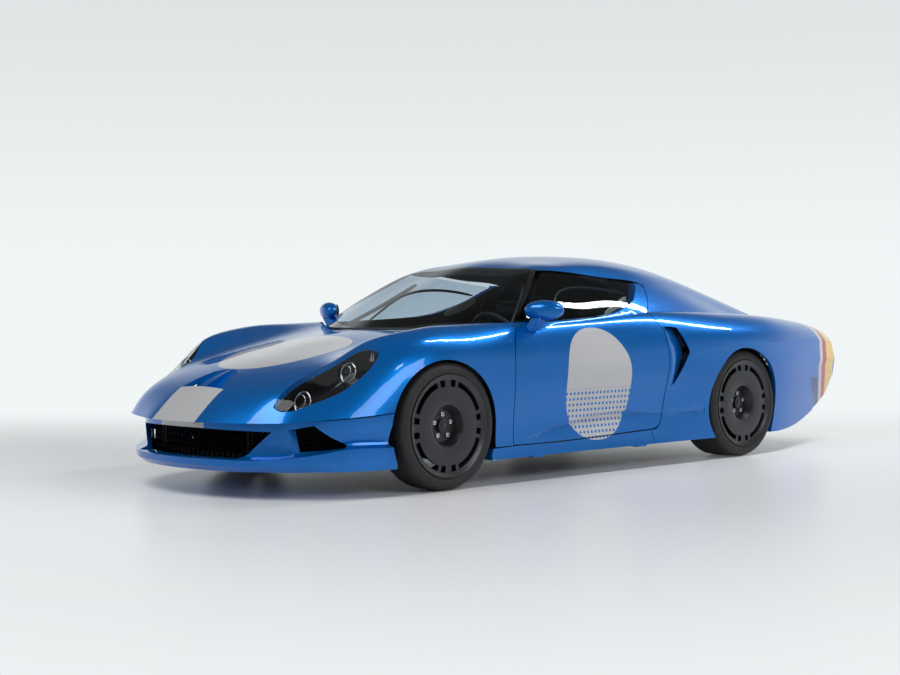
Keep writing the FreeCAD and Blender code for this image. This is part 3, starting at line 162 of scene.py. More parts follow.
print("camera at", [round(c, 2) for c in camera.matrix_world.translation])

# %% [markdown]
# Node materials repeat the same few moves: make a node, set its values, wire it. `shader_for` starts
# a material with one Principled shader and plain values on its own sockets, and `node` adds a node
# with its settings and inputs in one call, so each finish below reads as a short list.


# %% Helpers for node materials
def shader_for(name, colour, roughness, **more):
    finish = bpy.data.materials.new(name)
    finish.use_nodes = True
    shader = finish.node_tree.nodes["Principled BSDF"]
    shader.inputs["Base Color"].default_value = (*colour, 1)
    shader.inputs["Roughness"].default_value = roughness
    for socket, value in more.items():
        shader.inputs[socket.replace("_", " ")].default_value = value
    finish.diffuse_color = (*colour, 1)
    return finish, finish.node_tree, shader


def node(tree, kind, inputs=None, **settings):
    """Adds a node; inputs maps a socket's name or number to a value or to another node's output."""
    made = tree.nodes.new(kind)
    for key, value in settings.items():
        setattr(made, key, value)
    for key, value in (inputs or {}).items():
        if isinstance(value, bpy.types.NodeSocket):
            tree.links.new(value, made.inputs[key])
        else:
            made.inputs[key].default_value = value
    return made


def maths(tree, operation, first, second=0.0, third=None):
    made = tree.nodes.new("ShaderNodeMath")
    made.operation = operation
    for number, value in enumerate((first, second, third)):
        if isinstance(value, bpy.types.NodeSocket):
            tree.links.new(value, made.inputs[number])
        elif value is not None:
            made.inputs[number].default_value = value
    return made.outputs[0]


def object_xyz(tree):
    place = node(tree, "ShaderNodeTexCoord")
    split = node(tree, "ShaderNodeSeparateXYZ", {0: place.outputs["Object"]})
    return place.outputs["Object"], split.outputs["X"], split.outputs["Y"], split.outputs["Z"]


def bump_from(tree, shader, height, strength, distance):
    bump = node(tree, "ShaderNodeBump", {"Height": height, "Strength": strength, "Distance": distance})
    tree.links.new(bump.outputs["Normal"], shader.inputs["Normal"])


def below(tree, value, limit, softness=0.001):
    """1 where value is under limit and 0 above it, with an edge of the given width."""
    edge = node(tree, "ShaderNodeMapRange", {"Value": value, "From Min": limit + softness,
                                             "From Max": limit - softness})
    return edge.outputs["Result"]


def mix_colour(tree, factor, first, second):
    made = node(tree, "ShaderNodeMix", data_type="RGBA")
    sockets = made.inputs["Factor"], made.inputs["A"], made.inputs["B"]
    for socket, value in zip(sockets, (factor, first, second)):
        if isinstance(value, bpy.types.NodeSocket):
            tree.links.new(value, socket)
        elif isinstance(value, tuple):
            socket.default_value = (*value, 1)
        else:
            socket.default_value = value
    return made.outputs["Result"]


def eased(tree, value, limits, levels=(0.0, 1.0)):
    """A soft step from one level to another while value passes from the first limit to the second."""
    made = node(tree, "ShaderNodeMapRange", {"Value": value, "From Min": limits[0], "From Max": limits[1],
                                             "To Min": levels[0], "To Max": levels[1]},
                interpolation_type="SMOOTHSTEP")
    return made.outputs["Result"]


def between(tree, share, first, second):
    """The level that lies the given share of the way from first to second."""
    step = maths(tree, "SUBTRACT", second, first)
    return maths(tree, "ADD", first, maths(tree, "MULTIPLY", share, step))


def dot_product(tree, first, second):
    made = node(tree, "ShaderNodeVectorMath", {0: first, 1: second}, operation="DOT_PRODUCT")
    return made.outputs["Value"]


# %% [markdown]
# The studio is a white cove with the lights off on the photographer's side. The world is that room: it
# is palest low down behind the car, where the camera looks, darker overhead, and mid grey on the side
# where the photographer stands, which is what keeps the near flank a deep blue. Every ray sees the same
# room, so glass and bright metal reflect the backdrop that the camera sees. The floor is a wide satin
# sheet that fades into the room well away from the car, so that no edge shows from any side.

# %% Studio room
BACKDROP = (0.915, 0.955, 0.965)
BEHIND_CAR = (-0.72, -0.69, 0.0)
GLOW_LEVELS = (0.96, 0.80)
GLOW_HEIGHTS = (0.0, 0.22)
NEAR_WALL_LEVEL = 0.36
NEAR_WALL_LIMITS = (0.55, -0.35)
CEILING_LEVEL = 0.10
CEILING_HEIGHTS = (0.24, 0.52)
world = bpy.data.worlds.new("Studio")
bpy.context.scene.world = world
world.use_nodes = True
tree = world.node_tree
tree.nodes.clear()
direction = node(tree, "ShaderNodeTexCoord").outputs["Generated"]
height = node(tree, "ShaderNodeSeparateXYZ", {0: direction}).outputs["Z"]
behind = dot_product(tree, direction, BEHIND_CAR)
glow = eased(tree, height, GLOW_HEIGHTS, GLOW_LEVELS)
near_share = eased(tree, behind, NEAR_WALL_LIMITS)
wall = between(tree, near_share, glow, NEAR_WALL_LEVEL)
overhead_share = eased(tree, height, CEILING_HEIGHTS)
brightness = between(tree, overhead_share, wall, CEILING_LEVEL)
room = node(tree, "ShaderNodeBackground", {"Color": (*BACKDROP, 1), "Strength": brightness})
node(tree, "ShaderNodeOutputWorld", {"Surface": room.outputs[0]})
print("room nodes:", len(tree.nodes))


# %% Soft lamps
def soft_lamp(name, place, aim, size, power):
    """An area lamp whose first side lies along the car, facing the point it is aimed at."""
    bpy.ops.object.light_add(type="AREA", location=(0, 0, 0))
    lamp = bpy.context.object
    lamp.name = name
    away = (Vector(place) - Vector(aim)).normalized()
    along = (Vector((1, 0, 0)) - away * away.x).normalized()
    across = away.cross(along)
    lamp.matrix_world = Matrix.Translation(place) @ Matrix((along, across, away)).transposed().to_4x4()
    lamp.data.shape = "RECTANGLE"
    lamp.data.size, lamp.data.size_y = size
    lamp.data.energy = power


soft_lamp("OverheadStrip", place=(-2.5, 1.5, 3.7), aim=(-1.7, 0.4, 0.4), size=(4.2, 0.30), power=105)
soft_lamp("FrontFill", place=(4.2, 0.2, 4.2), aim=(1.4, 0, 0.4), size=(2.4, 3.0), power=120)
soft_lamp("NearFill", place=(0.6, 8.5, 4.4), aim=(0.2, 0, 0.3), size=(6.0, 2.2), power=190)
soft_lamp("SpotLeft", place=(1.6, 4.2, 3.4), aim=(0.6, 0, 0.6), size=(0.5, 0.3), power=6)

# %% The floor
FLOOR_RADIUS = 30
FLOOR_COLOUR = (0.89, 0.895, 0.91)
FADE_ALL_ROUND = (1.7, 6.6)
FADE_BEHIND_CAR = (-0.6, 4.6)
bpy.ops.object.select_all(action="DESELECT")
bpy.ops.mesh.primitive_circle_add(vertices=96, radius=FLOOR_RADIUS, fill_type="NGON", location=(0, 0, 0))
floor = bpy.context.object
floor.name = "StudioFloor"
floor_paint, tree, shader = shader_for("StudioFloor", FLOOR_COLOUR, 0.30, Specular_IOR_Level=0.35)
place = object_xyz(tree)[0]
distance = node(tree, "ShaderNodeVectorMath", {0: place}, operation="LENGTH").outputs["Value"]
beyond = dot_product(tree, place, BEHIND_CAR)
all_round = eased(tree, distance, FADE_ALL_ROUND)
far_side = eased(tree, beyond, FADE_BEHIND_CAR)
fade = maths(tree, "MAXIMUM", all_round, far_side)
clear = node(tree, "ShaderNodeBsdfTransparent")
ends = node(tree, "ShaderNodeMixShader", {0: fade, 1: shader.outputs[0], 2: clear.outputs[0]})
tree.links.new(ends.outputs[0], tree.nodes["Material Output"].inputs["Surface"])
floor.data.materials.append(floor_paint)
print("floor radius:", FLOOR_RADIUS)

# %% [markdown]
# The paint is a deep azure with fine metal flake under a clear coat. The pale stripe on the nose, the
# rounded panel on the bonnet, the disc on the door and the bands round the tail are part of the same
# finish, so their edges run across the shut lines as masking tape would leave them. They are drawn
# from Object coordinates, which every panel shares because each one's object sits at the origin.

# %% Colours of the paint scheme
AZURE = (0.0010, 0.150, 0.53)
PALE_GREY = (0.54, 0.54, 0.55)
SIGNAL_RED = (0.70, 0.012, 0.010)
WARM_YELLOW = (0.85, 0.50, 0.015)
NIGHT_BLUE = (0.004, 0.018, 0.16)
NOSE_STRIPE_HALF = 0.178
NOSE_STRIPE_REAR = 2.228
NOSE_STRIPE_LOWEST = 0.30
BONNET_PANEL_MIDDLE = 1.725
BONNET_PANEL_HALF = (0.34, 0.318)
BONNET_PANEL_TAPER = -0.30
BONNET_PANEL_LOWEST = 0.50
DOOR_DISC = (0.265, 0.480)
DOOR_DISC_HALF = (0.262, 0.30)
DOOR_DISC_INNERMOST = 0.6
OVAL_EDGE = 0.01
OVAL_POWER = 2.3
DOT_PITCH = 0.03
DOT_SHARE = 0.27
DOT_EDGE = 0.04
DOTS_TOP = -0.02
TAIL_POINT_HEIGHT = 0.50
TAIL_SWEEP = 0.42
WHITE_BAND = (-2.075, -2.02)
RED_BAND = (-2.15, -2.075)
YELLOW_BAND = (-2.31, -2.15)
NIGHT_SWEEP = -0.9
NIGHT_EDGE = -2.28
NIGHT_TOP = 0.43
METAL_SHARE = 0.55
METAL_DROP_UNDER_PALE = -0.5
FLAKE_SCALE = 1400.0
FLAKE_ROUGHNESS = (0.24, 0.36)
print("nose stripe width:", 2 * NOSE_STRIPE_HALF)


# %% Shapes to mask with
def both(tree, *masks):
    """1 only where every mask is 1."""
    share = masks[0]
    for mask in masks[1:]:
        share = maths(tree, "MULTIPLY", share, mask)
    return share


def either(tree, *masks):
    """1 where any mask is 1."""
    share = masks[0]
    for mask in masks[1:]:
        share = maths(tree, "MAXIMUM", share, mask)
    return share


def over(tree, value, limit):
    return maths(tree, "SUBTRACT", 1.0, below(tree, value, limit))


def belt(tree, value, limits):
    return both(tree, below(tree, value, limits[1]), over(tree, value, limits[0]))


def oval(tree, across, along, half_sizes):
    """1 inside an oval that is a little fuller than an ellipse."""
    powers = []
    for value, half in zip((across, along), half_sizes):
        share = maths(tree, "ABSOLUTE", maths(tree, "DIVIDE", value, half))
        powers.append(maths(tree, "POWER", share, OVAL_POWER))
    return below(tree, maths(tree, "ADD", *powers), 1.0, OVAL_EDGE)


# %% Blue paint with its stripes
paint, tree, shader = shader_for("BluePaint", AZURE, 0.30, Metallic=METAL_SHARE, Coat_Weight=1.0,
                                 Coat_Roughness=0.015, Coat_IOR=1.40, Specular_IOR_Level=0.15,
                                 Specular_Tint=(0.04, 0.50, 0.90, 1))
place, x, y, z = object_xyz(tree)
side = maths(tree, "ABSOLUTE", y)
nose_stripe = both(tree, below(tree, side, NOSE_STRIPE_HALF), over(tree, x, NOSE_STRIPE_REAR),
                   over(tree, z, NOSE_STRIPE_LOWEST))
ahead = maths(tree, "SUBTRACT", x, BONNET_PANEL_MIDDLE)
egg = maths(tree, "MULTIPLY_ADD", ahead, BONNET_PANEL_TAPER, 1.0)
bonnet_panel = both(tree, oval(tree, maths(tree, "DIVIDE", side, egg), ahead, BONNET_PANEL_HALF),
                    over(tree, z, BONNET_PANEL_LOWEST))
disc_x = maths(tree, "SUBTRACT", x, DOOR_DISC[0])
disc_z = maths(tree, "SUBTRACT", z, DOOR_DISC[1])
door_disc = both(tree, oval(tree, disc_x, disc_z, DOOR_DISC_HALF), over(tree, side, DOOR_DISC_INNERMOST))
livery = either(tree, nose_stripe, bonnet_panel, door_disc)

cell_x = maths(tree, "FRACT", maths(tree, "DIVIDE", disc_x, DOT_PITCH))
cell_z = maths(tree, "FRACT", maths(tree, "DIVIDE", disc_z, DOT_PITCH))
cell = node(tree, "ShaderNodeCombineXYZ", {"X": cell_x, "Y": cell_z})
dot = node(tree, "ShaderNodeVectorMath", {0: cell.outputs[0], 1: (0.5, 0.5, 0)}, operation="DISTANCE")
dots = both(tree, below(tree, dot.outputs["Value"], DOT_SHARE, DOT_EDGE), below(tree, disc_z, DOTS_TOP),
            door_disc)

from_point = maths(tree, "ABSOLUTE", maths(tree, "SUBTRACT", z, TAIL_POINT_HEIGHT))
tail_x = maths(tree, "ADD", x, maths(tree, "MULTIPLY", from_point, TAIL_SWEEP))
white_band = belt(tree, tail_x, WHITE_BAND)
red_band = belt(tree, tail_x, RED_BAND)
yellow_band = belt(tree, tail_x, YELLOW_BAND)
night_field = both(tree, below(tree, maths(tree, "MULTIPLY_ADD", z, NIGHT_SWEEP, x), NIGHT_EDGE),
                   below(tree, z, NIGHT_TOP))

# %% Colours laid over each other
blue = mix_colour(tree, night_field, AZURE, NIGHT_BLUE)
scheme = mix_colour(tree, livery, blue, PALE_GREY)
scheme = mix_colour(tree, dots, scheme, AZURE)
scheme = mix_colour(tree, white_band, scheme, PALE_GREY)
scheme = mix_colour(tree, red_band, scheme, SIGNAL_RED)
scheme = mix_colour(tree, yellow_band, scheme, WARM_YELLOW)
tree.links.new(scheme, shader.inputs["Base Color"])
plain = either(tree, livery, white_band, yellow_band)
metal = maths(tree, "MULTIPLY_ADD", plain, METAL_DROP_UNDER_PALE, METAL_SHARE)
tree.links.new(metal, shader.inputs["Metallic"])
flake = node(tree, "ShaderNodeTexVoronoi", {"Vector": place, "Scale": FLAKE_SCALE})
flaked = node(tree, "ShaderNodeMapRange", {"Value": flake.outputs["Color"], "To Min": FLAKE_ROUGHNESS[0],
                                           "To Max": FLAKE_ROUGHNESS[1]})
tree.links.new(flaked.outputs["Result"], shader.inputs["Roughness"])
print("paint nodes:", len(tree.nodes))

# %% [markdown]
# The other finishes are plain workshop materials, except the grille black, which is partly painted shade.
# Each has its own grain: satin lacquer on the wheels, moulded black plastic, cast metal, brushed steel,
# leather and rubber. Small noise on roughness and a shallow bump keep a surface from looking like one flat
# colour.


# %% Trim, metal and rubber
def grained(name, colour, roughness, scale, spread=0.06, bump=0.0, depth=0.0005, **more):
    """A finish whose roughness varies with a noise of the given scale, with an optional bump."""
    finish, tree, shader = shader_for(name, colour, roughness, **more)
    place = object_xyz(tree)[0]
    noise = node(tree, "ShaderNodeTexNoise", {"Vector": place, "Scale": scale, "Detail": 5.0,
                                              "Roughness": 0.6})
    varied = node(tree, "ShaderNodeMapRange", {"Value": noise.outputs["Fac"],
                                               "From Min": 0.3, "From Max": 0.7,
                                               "To Min": roughness - spread, "To Max": roughness + spread})
    tree.links.new(varied.outputs["Result"], shader.inputs["Roughness"])
    if bump:
        bump_from(tree, shader, noise.outputs["Fac"], bump, depth)
    return finish


satin_alloy = grained("SatinAlloy", (0.040, 0.042, 0.047), 0.36, 260, 0.05, 0.05, Metallic=0.6,
                      Coat_Weight=0.25, Coat_Roughness=0.25)
black_plastic = grained("BlackPlastic", (0.012, 0.012, 0.013), 0.42, 900, 0.05, 0.12)
gloss_black = grained("GlossBlack", (0.006, 0.006, 0.007), 0.10, 60, 0.03, Coat_Weight=0.6)
# Painted shade: the grille mesh is real black mesh, but it is made far darker and duller than black plastic
# so that the shaded mouth, vents and rear grille show plain black.
grille_black_and_painted_shade = grained("GrilleBlackAndPaintedShade", (0.0012, 0.0012, 0.0014), 0.80, 500, 0.08, 0.1, Specular_IOR_Level=0.05)
frame_black = grained("FrameBlack", (0.022, 0.022, 0.024), 0.45, 300, 0.08, 0.1)
cast_metal = grained("CastMetal", (0.20, 0.20, 0.21), 0.48, 420, 0.1, 0.35, 0.001, Metallic=0.9)
tub_metal = grained("TubMetal", (0.30, 0.30, 0.31), 0.42, 120, 0.08, Metallic=0.9)
bright_steel = grained("BrightSteel", (0.62, 0.62, 0.63), 0.14, 80, 0.05, Metallic=1.0)
dark_leather = grained("DarkLeather", (0.016, 0.015, 0.015), 0.50, 650, 0.08, 0.35, 0.001)
tyre_rubber = grained("TyreRubber", (0.014, 0.014, 0.015), 0.62, 240, 0.08, 0.15, 0.0006)
lining = grained("CabinLining", (0.007, 0.007, 0.008), 0.75, 700, 0.05, 0.25, 0.001)
red_lens = grained("RedLens", (0.36, 0.008, 0.006), 0.08, 50, 0.02, Coat_Weight=0.5)
print("finishes so far:", len(bpy.data.materials))

# %% Glass
GLASS_IOR = 1.38
GLASS_ROUGHNESS = 0.01
DUST_ROUGHNESS = 0.03


def glass(name, tint, through, tint_share):
    """Thin sheet glass, part clear and part dark gloss. Only its outer face mirrors the room."""
    finish, tree, shader = shader_for(name, tint, GLASS_ROUGHNESS, Coat_Weight=0.0)
    place = object_xyz(tree)[0]
    dust = node(tree, "ShaderNodeTexNoise", {"Vector": place, "Scale": 9.0, "Detail": 3.0})
    varied = node(tree, "ShaderNodeMapRange", {"Value": dust.outputs["Fac"], "To Min": GLASS_ROUGHNESS,
                                               "To Max": DUST_ROUGHNESS})
    tree.links.new(varied.outputs["Result"], shader.inputs["Roughness"])
    clear = node(tree, "ShaderNodeBsdfTransparent", {"Color": (*through, 1)})
    edge = node(tree, "ShaderNodeFresnel", {"IOR": GLASS_IOR})
    from_inside = node(tree, "ShaderNodeNewGeometry").outputs["Backfacing"]
    mirrored_share = maths(tree, "MULTIPLY", edge.outputs[0], maths(tree, "SUBTRACT", 1.0, from_inside))
    gloss = node(tree, "ShaderNodeBsdfGlossy", {"Roughness": GLASS_ROUGHNESS})
    solid = node(tree, "ShaderNodeMixShader", {0: tint_share, 1: clear.outputs[0], 2: shader.outputs[0]})
    final = node(tree, "ShaderNodeMixShader", {0: mirrored_share, 1: solid.outputs[0], 2: gloss.outputs[0]})
    tree.links.new(final.outputs[0], tree.nodes["Material Output"].inputs["Surface"])
    return finish


tinted_glass = glass("TintedGlass", (0.004, 0.004, 0.005), (0.86, 0.92, 0.96), 0.08)
clear_glass = glass("ClearGlass", (0.02, 0.02, 0.02), (0.98, 0.99, 0.99), 0.01)
print("glass:", tinted_glass.name, clear_glass.name)

# %% [markdown]
# Now every CAD node gets its finish. Curved pieces are shown by a merged, smoothly shaded copy, and
# flat-sided pieces keep the CAD mesh and only take the material.

# %% Finish of each node
CURVED = {
    paint: ["front_clamshell", "front_bumper", "side_sills", "door_left", "door_right", "roof_panel",
            "quarter_left", "quarter_right", "engine_cover", "tail_section", "mirror_left", "mirror_right"],
    tinted_glass: ["windscreen", "door_glass_left", "door_glass_right", "rear_window"],
    clear_glass: ["headlamp_lenses"],
    satin_alloy: ["wheel_front_left", "wheel_front_right", "wheel_rear_left", "wheel_rear_right"],
    tyre_rubber: ["tyre_front_left", "tyre_front_right", "tyre_rear_left", "tyre_rear_right"],
    dark_leather: ["steering_wheel", "dashboard"],
    bright_steel: ["exhaust_tips"],
    red_lens: ["tail_lamps"],
    gloss_black: ["windscreen_frame", "headlamps"],
    frame_black: ["front_wishbones", "rear_suspension"],
    cast_metal: ["knuckle_left", "knuckle_right"],
}
FLAT = {
    grille_black_and_painted_shade: ["main_grille", "vent_grilles", "rear_grille"],
    black_plastic: ["rear_diffuser", "underbody_panels", "rear_bulkhead", "front_wheel_liners",
                    "rear_wheel_liners"],
    tub_metal: ["floor_tub"],
    frame_black: ["front_subframe", "rear_subframe"],
    cast_metal: ["engine_block"],
    dark_leather: ["centre_console"],
}
finished = {}
for finish, names in CURVED.items():
    for name in names:
        finished[name] = smooth_copy(name, finish)
for finish, names in FLAT.items():
    for name in names:
        part = frame["nodes"][name]
        part.data.materials.clear()
        part.data.materials.append(finish)
print("finished nodes:", len(finished) + sum(len(names) for names in FLAT.values()))

# %% Dark lining on the hidden side of the panels
SPINE_FRONT = 1.45
SPINE_REAR = -1.30
SPINE_HEIGHT = 0.36
INWARD_LIMIT = -0.25
PAINTED_ALL_ROUND = ("mirror", "front_bumper", "side_sills")


def looks_inwards(middle, normal):
    """True on the hidden side of a body panel, which faces a line along the middle of the car."""
    spine_x = min(max(middle.x, SPINE_REAR), SPINE_FRONT)
    outwards = Vector((middle.x - spine_x, middle.y, middle.z - SPINE_HEIGHT)).normalized()
    return normal.dot(outwards) < INWARD_LIMIT


for name in CURVED[paint]:
    if not name.startswith(PAINTED_ALL_ROUND):
        print(name, "lined faces:", second_finish(finished[name], lining, looks_inwards))

# %% [markdown]
# Everything below is modelled here, the way it is done by hand: a primitive at its size and place,
# edit-mode steps on faces picked by where they lie, then modifiers that are applied. The main helpers
# are four. `start` adds a primitive, `choose` selects faces by a test, `modified` applies one modifier,
# and `settle` bakes the object's own place into its mesh, so that the finished piece sits at the origin.


# %% Modelling helpers
def start(add, name, finish, **sizes):
    bpy.ops.object.select_all(action="DESELECT")
    add(**sizes)
    piece = bpy.context.object
    piece.name = name
    piece.data.name = name
    piece.data.materials.append(finish)
    return piece


def choose(piece, test):
    """Leaves the piece in edit mode with only the faces that pass the test selected."""
    pick(piece)
    bpy.ops.object.mode_set(mode="EDIT")
    bpy.ops.mesh.select_mode(type="FACE")
    bpy.ops.mesh.select_all(action="DESELECT")
    bpy.ops.object.mode_set(mode="OBJECT")
    count = 0
    for face in piece.data.polygons:
        face.select = bool(test(face.center, face.normal))
        count += face.select
    bpy.ops.object.mode_set(mode="EDIT")
    return count


def modified(piece, kind, **settings):
    pick(piece)
    modifier = piece.modifiers.new(kind.title(), kind)
    for key, value in settings.items():
        setattr(modifier, key, value)
    bpy.ops.object.modifier_apply(modifier=modifier.name)


def settle(piece):
    pick(piece)
    bpy.ops.object.transform_apply(location=True, rotation=True, scale=True)


def outward(piece):
    """Merges doubles and turns every face to the outside."""
    merge_points(piece, 1e-5)
    edit_all(piece)
    bpy.ops.mesh.normals_make_consistent(inside=False)
    leave_edit()


def pulled(piece, step):
    """Extrudes the whole piece by one step, so that a line becomes a strip and a face a block."""
    edit_all(piece)
    bpy.ops.mesh.extrude_region_move(TRANSFORM_OT_translate={"value": step})
    leave_edit()


def stretched(piece, factors):
    edit_all(piece)
    bpy.ops.transform.resize(value=factors)
    leave_edit()


def smooth(piece, angle=35):
    pick(piece)
    bpy.ops.object.shade_smooth_by_angle(angle=radians(angle))


def joined(pieces, name):
    pick(pieces[0])
    for piece in pieces[1:]:
        piece.select_set(True)
    bpy.ops.object.join()
    pieces[0].name = name
    pieces[0].data.name = name
    return pieces[0]


def own_copy(piece, name):
    made = piece.copy()
    made.data = piece.data.copy()
    made.name = name
    made.data.name = name
    bpy.context.scene.collection.objects.link(made)
    return made


def drawn_line(name, points, finish):
    """A chain of edges: one point of a plane, extruded from place to place."""
    piece = start(bpy.ops.mesh.primitive_plane_add, name, finish, size=0.01, location=(0, 0, 0))
    edit_all(piece)
    bpy.ops.mesh.merge(type="CENTER")
    bpy.ops.mesh.select_mode(type="VERT")
    bpy.ops.mesh.select_all(action="SELECT")
    bpy.ops.transform.translate(value=points[0])
    for first, second in zip(points, points[1:]):
        step = tuple(b - a for a, b in zip(first, second))
        bpy.ops.mesh.extrude_region_move(TRANSFORM_OT_translate={"value": step})
    leave_edit()
    return piece


def spun(piece, centre, axis, steps):
    edit_all(piece)
    bpy.ops.mesh.spin(steps=steps, angle=2 * math.pi, center=centre, axis=axis)
    leave_edit()
    outward(piece)


# %% [markdown]
# A road tyre is a revolved section with four grooves round its tread, then narrow cuts across the ribs.
# The section is drawn as a chain of edges from bead to bead, spun about the hub, and every fifth face of
# the ribs on each side is pushed in to make the cuts. It keeps the outline of the CAD tyre that it
# replaces.

# %% Tyres with tread
HUB_HEIGHT = 0.316
WHEEL_FACE = 0.875
AXLES = {"front": (1.385, 0.205), "rear": (-1.035, 0.255)}
SIDEWALL = [(0.2360, 0.0120), (0.2545, 0.0095), (0.2572, 0.0052), (0.2620, 0.0030), (0.2640, 0.0042),
            (0.2660, 0.0020), (0.2750, 0.0000), (0.2850, 0.0016), (0.2870, 0.0034), (0.2890, 0.0032),
            (0.2950, 0.0052), (0.3010, 0.0092), (0.3060, 0.0142), (0.3102, 0.0210), (0.3130, 0.0285),
            (0.3143, 0.0400)]
OUTER_GROOVE = 0.52
INNER_GROOVE = 0.18
GROOVE_DEPTH = 0.0065
GROOVE_HALF = 0.0042
TREAD_STEPS = 300
CUT_EVERY = 5
CUT_DEPTH = 0.0045
CUT_ABOVE = 0.3075


def tyre_section(half):
    """Bead to bead as (radius, across), over the outer sidewall, the grooved tread and the inner one."""
    sidewall = [(radius, half - inset) for radius, inset in SIDEWALL]
    tread = []
    for across in (OUTER_GROOVE * half, INNER_GROOVE * half):
        tread += [(0.3157, across + GROOVE_HALF + 0.001), (0.3150, across + GROOVE_HALF),
                  (0.3150 - GROOVE_DEPTH, across + GROOVE_HALF * 0.6),
                  (0.3150 - GROOVE_DEPTH, across - GROOVE_HALF * 0.6),
                  (0.3155, across - GROOVE_HALF), (0.3159, across - GROOVE_HALF - 0.001)]
    one_side = sidewall + tread
    return one_side + [(radius, -across) for radius, across in reversed(one_side)]


def tyre(axle, side, word):
    x, width = AXLES[axle]
    half = width / 2
    middle = side * (WHEEL_FACE - half)
    section = tyre_section(half)
    chain = [(x, middle + across, HUB_HEIGHT + radius) for radius, across in section + section[:1]]
    piece = drawn_line(f"tyre_{axle}_{word}_tread", chain, tyre_rubber)
    spun(piece, (x, middle, HUB_HEIGHT), (0, 1, 0), TREAD_STEPS)
    rib_low = INNER_GROOVE * half + 2 * GROOVE_HALF
    rib_high = OUTER_GROOVE * half - 2 * GROOVE_HALF
    shoulder_low = OUTER_GROOVE * half + 2 * GROOVE_HALF

    def in_cut(centre, normal):
        radius = math.hypot(centre.x - x, centre.z - HUB_HEIGHT)
        across = abs(centre.y - middle)
        turn = math.atan2(centre.z - HUB_HEIGHT, centre.x - x) / (2 * math.pi) * TREAD_STEPS
        shift = 2 if across < rib_high else 0
        if radius < CUT_ABOVE or int(turn + TREAD_STEPS + shift) % CUT_EVERY:
            return False
        return rib_low < across < rib_high or across > shoulder_low

    cuts = choose(piece, in_cut)
    bpy.ops.mesh.extrude_region_shrink_fatten(TRANSFORM_OT_shrink_fatten={"value": -CUT_DEPTH})
    leave_edit()
    smooth(piece, 28)
    node_name = f"tyre_{axle}_{word}"
    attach(piece, body_of(node_name))
    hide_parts(node_name)
    return cuts


for axle in AXLES:
    for side, word in ((1, "left"), (-1, "right")):
        print(axle, word, "tyre cuts:", tyre(axle, side, word))

# %% [markdown]
# Five wheel bolts sit in each deep hub recess round a plain centre cap. One bolt is a six-sided cylinder
# whose outer face is inset and sunk for the key, with a bevel on its edges. The cap is a short cylinder
# with a raised rim. A wheel's cap and bolts are joined into one piece.

# %% Wheel bolts and centre caps
BOLT_COUNT = 5
BOLT_CIRCLE = 0.057
BOLT_START = radians(18)
BOLT_SIZE = 0.0125
BOLT_LENGTH = 0.016
BOLT_OFFSET = 0.006
KEY_EDGE = 0.38
KEY_DEPTH = 0.006
CAP_RADIUS = 0.034
CAP_LENGTH = 0.024
CAP_OFFSET = 0.010
CAP_RIM = 0.005
CAP_DISH = 0.004
CAP_STEP = 0.010
CAP_BUTTON = 0.003
RECESS_DEPTH = 0.066


def hub_round(name, finish, place, outside, corners, radius, length):
    """A cylinder that lies across the car, left in edit mode with its outer face selected."""
    piece = start(bpy.ops.mesh.primitive_cylinder_add, name, finish, vertices=corners, radius=radius,
                  depth=length, location=place, rotation=(-math.pi / 2 * outside, 0, 0))
    settle(piece)
    choose(piece, lambda centre, normal: normal.y * outside > 0.9)
    return piece


def inset_and_move(inset, outwards):
    bpy.ops.mesh.inset(thickness=inset)
    bpy.ops.mesh.extrude_region_move(TRANSFORM_OT_translate={"value": (0, outwards, 0)})


def wheel_bolt(place, outside):
    bolt = hub_round("bolt", bright_steel, place, outside, 6, BOLT_SIZE, BOLT_LENGTH)
    inset_and_move(BOLT_SIZE * KEY_EDGE, -KEY_DEPTH * outside)
    leave_edit()
    modified(bolt, "BEVEL", width=0.0008, segments=2)
    return bolt


def centre_cap(place, outside):
    cap = hub_round("cap", satin_alloy, place, outside, 48, CAP_RADIUS, CAP_LENGTH)
    inset_and_move(CAP_RIM, -CAP_DISH * outside)
    inset_and_move(CAP_STEP, CAP_BUTTON * outside)
    leave_edit()
    modified(cap, "BEVEL", width=0.0012, segments=2, limit_method="ANGLE", angle_limit=radians(40))
    return cap


for axle, (x, width) in AXLES.items():
    for side, word in ((1, "left"), (-1, "right")):
        floor_y = side * (WHEEL_FACE - RECESS_DEPTH)
        pieces = [centre_cap((x, floor_y + side * CAP_OFFSET, HUB_HEIGHT), side)]
        for number in range(BOLT_COUNT):
            angle = 2 * math.pi * number / BOLT_COUNT + BOLT_START
            place = (x + BOLT_CIRCLE * cos(angle), floor_y + side * BOLT_OFFSET,
                     HUB_HEIGHT + BOLT_CIRCLE * sin(angle))
            pieces.append(wheel_bolt(place, side))
        hub = joined(pieces, f"hub_fittings_{axle}_{word}")
        smooth(hub, 35)
        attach(hub, body_of(f"wheel_{axle}_{word}"))
print("bolts a wheel:", BOLT_COUNT)

# %% [markdown]
# Each headlamp is a black bowl with two round units and a bright tube that links them. The bowl and the
# units are CAD solids, so their faces only need their own finishes, picked by how far they lie from each
# unit's middle. Two bright rings, each a torus, frame each unit.

# %% Headlamp finishes and rings
LAMP_UNITS = [(Vector((2.080, 0.612, 0.452)), 0.056), (Vector((1.850, 0.672, 0.585)), 0.052)]
LAMP_AIM = Vector((1, 0.12, 0.25)).normalized()
EYE_SHARE = 0.8
BARREL_REACH = (-0.05, 0.0105)
TUBE_SETBACK = 0.010
TUBE_LIMIT = 0.0125
TOUCH = 0.001
RINGS = ((0.90, 0.011, 0.0040), (0.60, 0.029, 0.0022))
lamp_chrome = grained("LampChrome", (0.55, 0.56, 0.58), 0.10, 180, 0.05, 0.2, 0.002, Metallic=1.0)
lamp_eye = grained("LampEye", (0.030, 0.032, 0.036), 0.05, 90, 0.02, Metallic=0.4, Coat_Weight=1.0)


def mirrored_about_middle(place, side):
    return Vector((place.x, place.y * side, place.z))


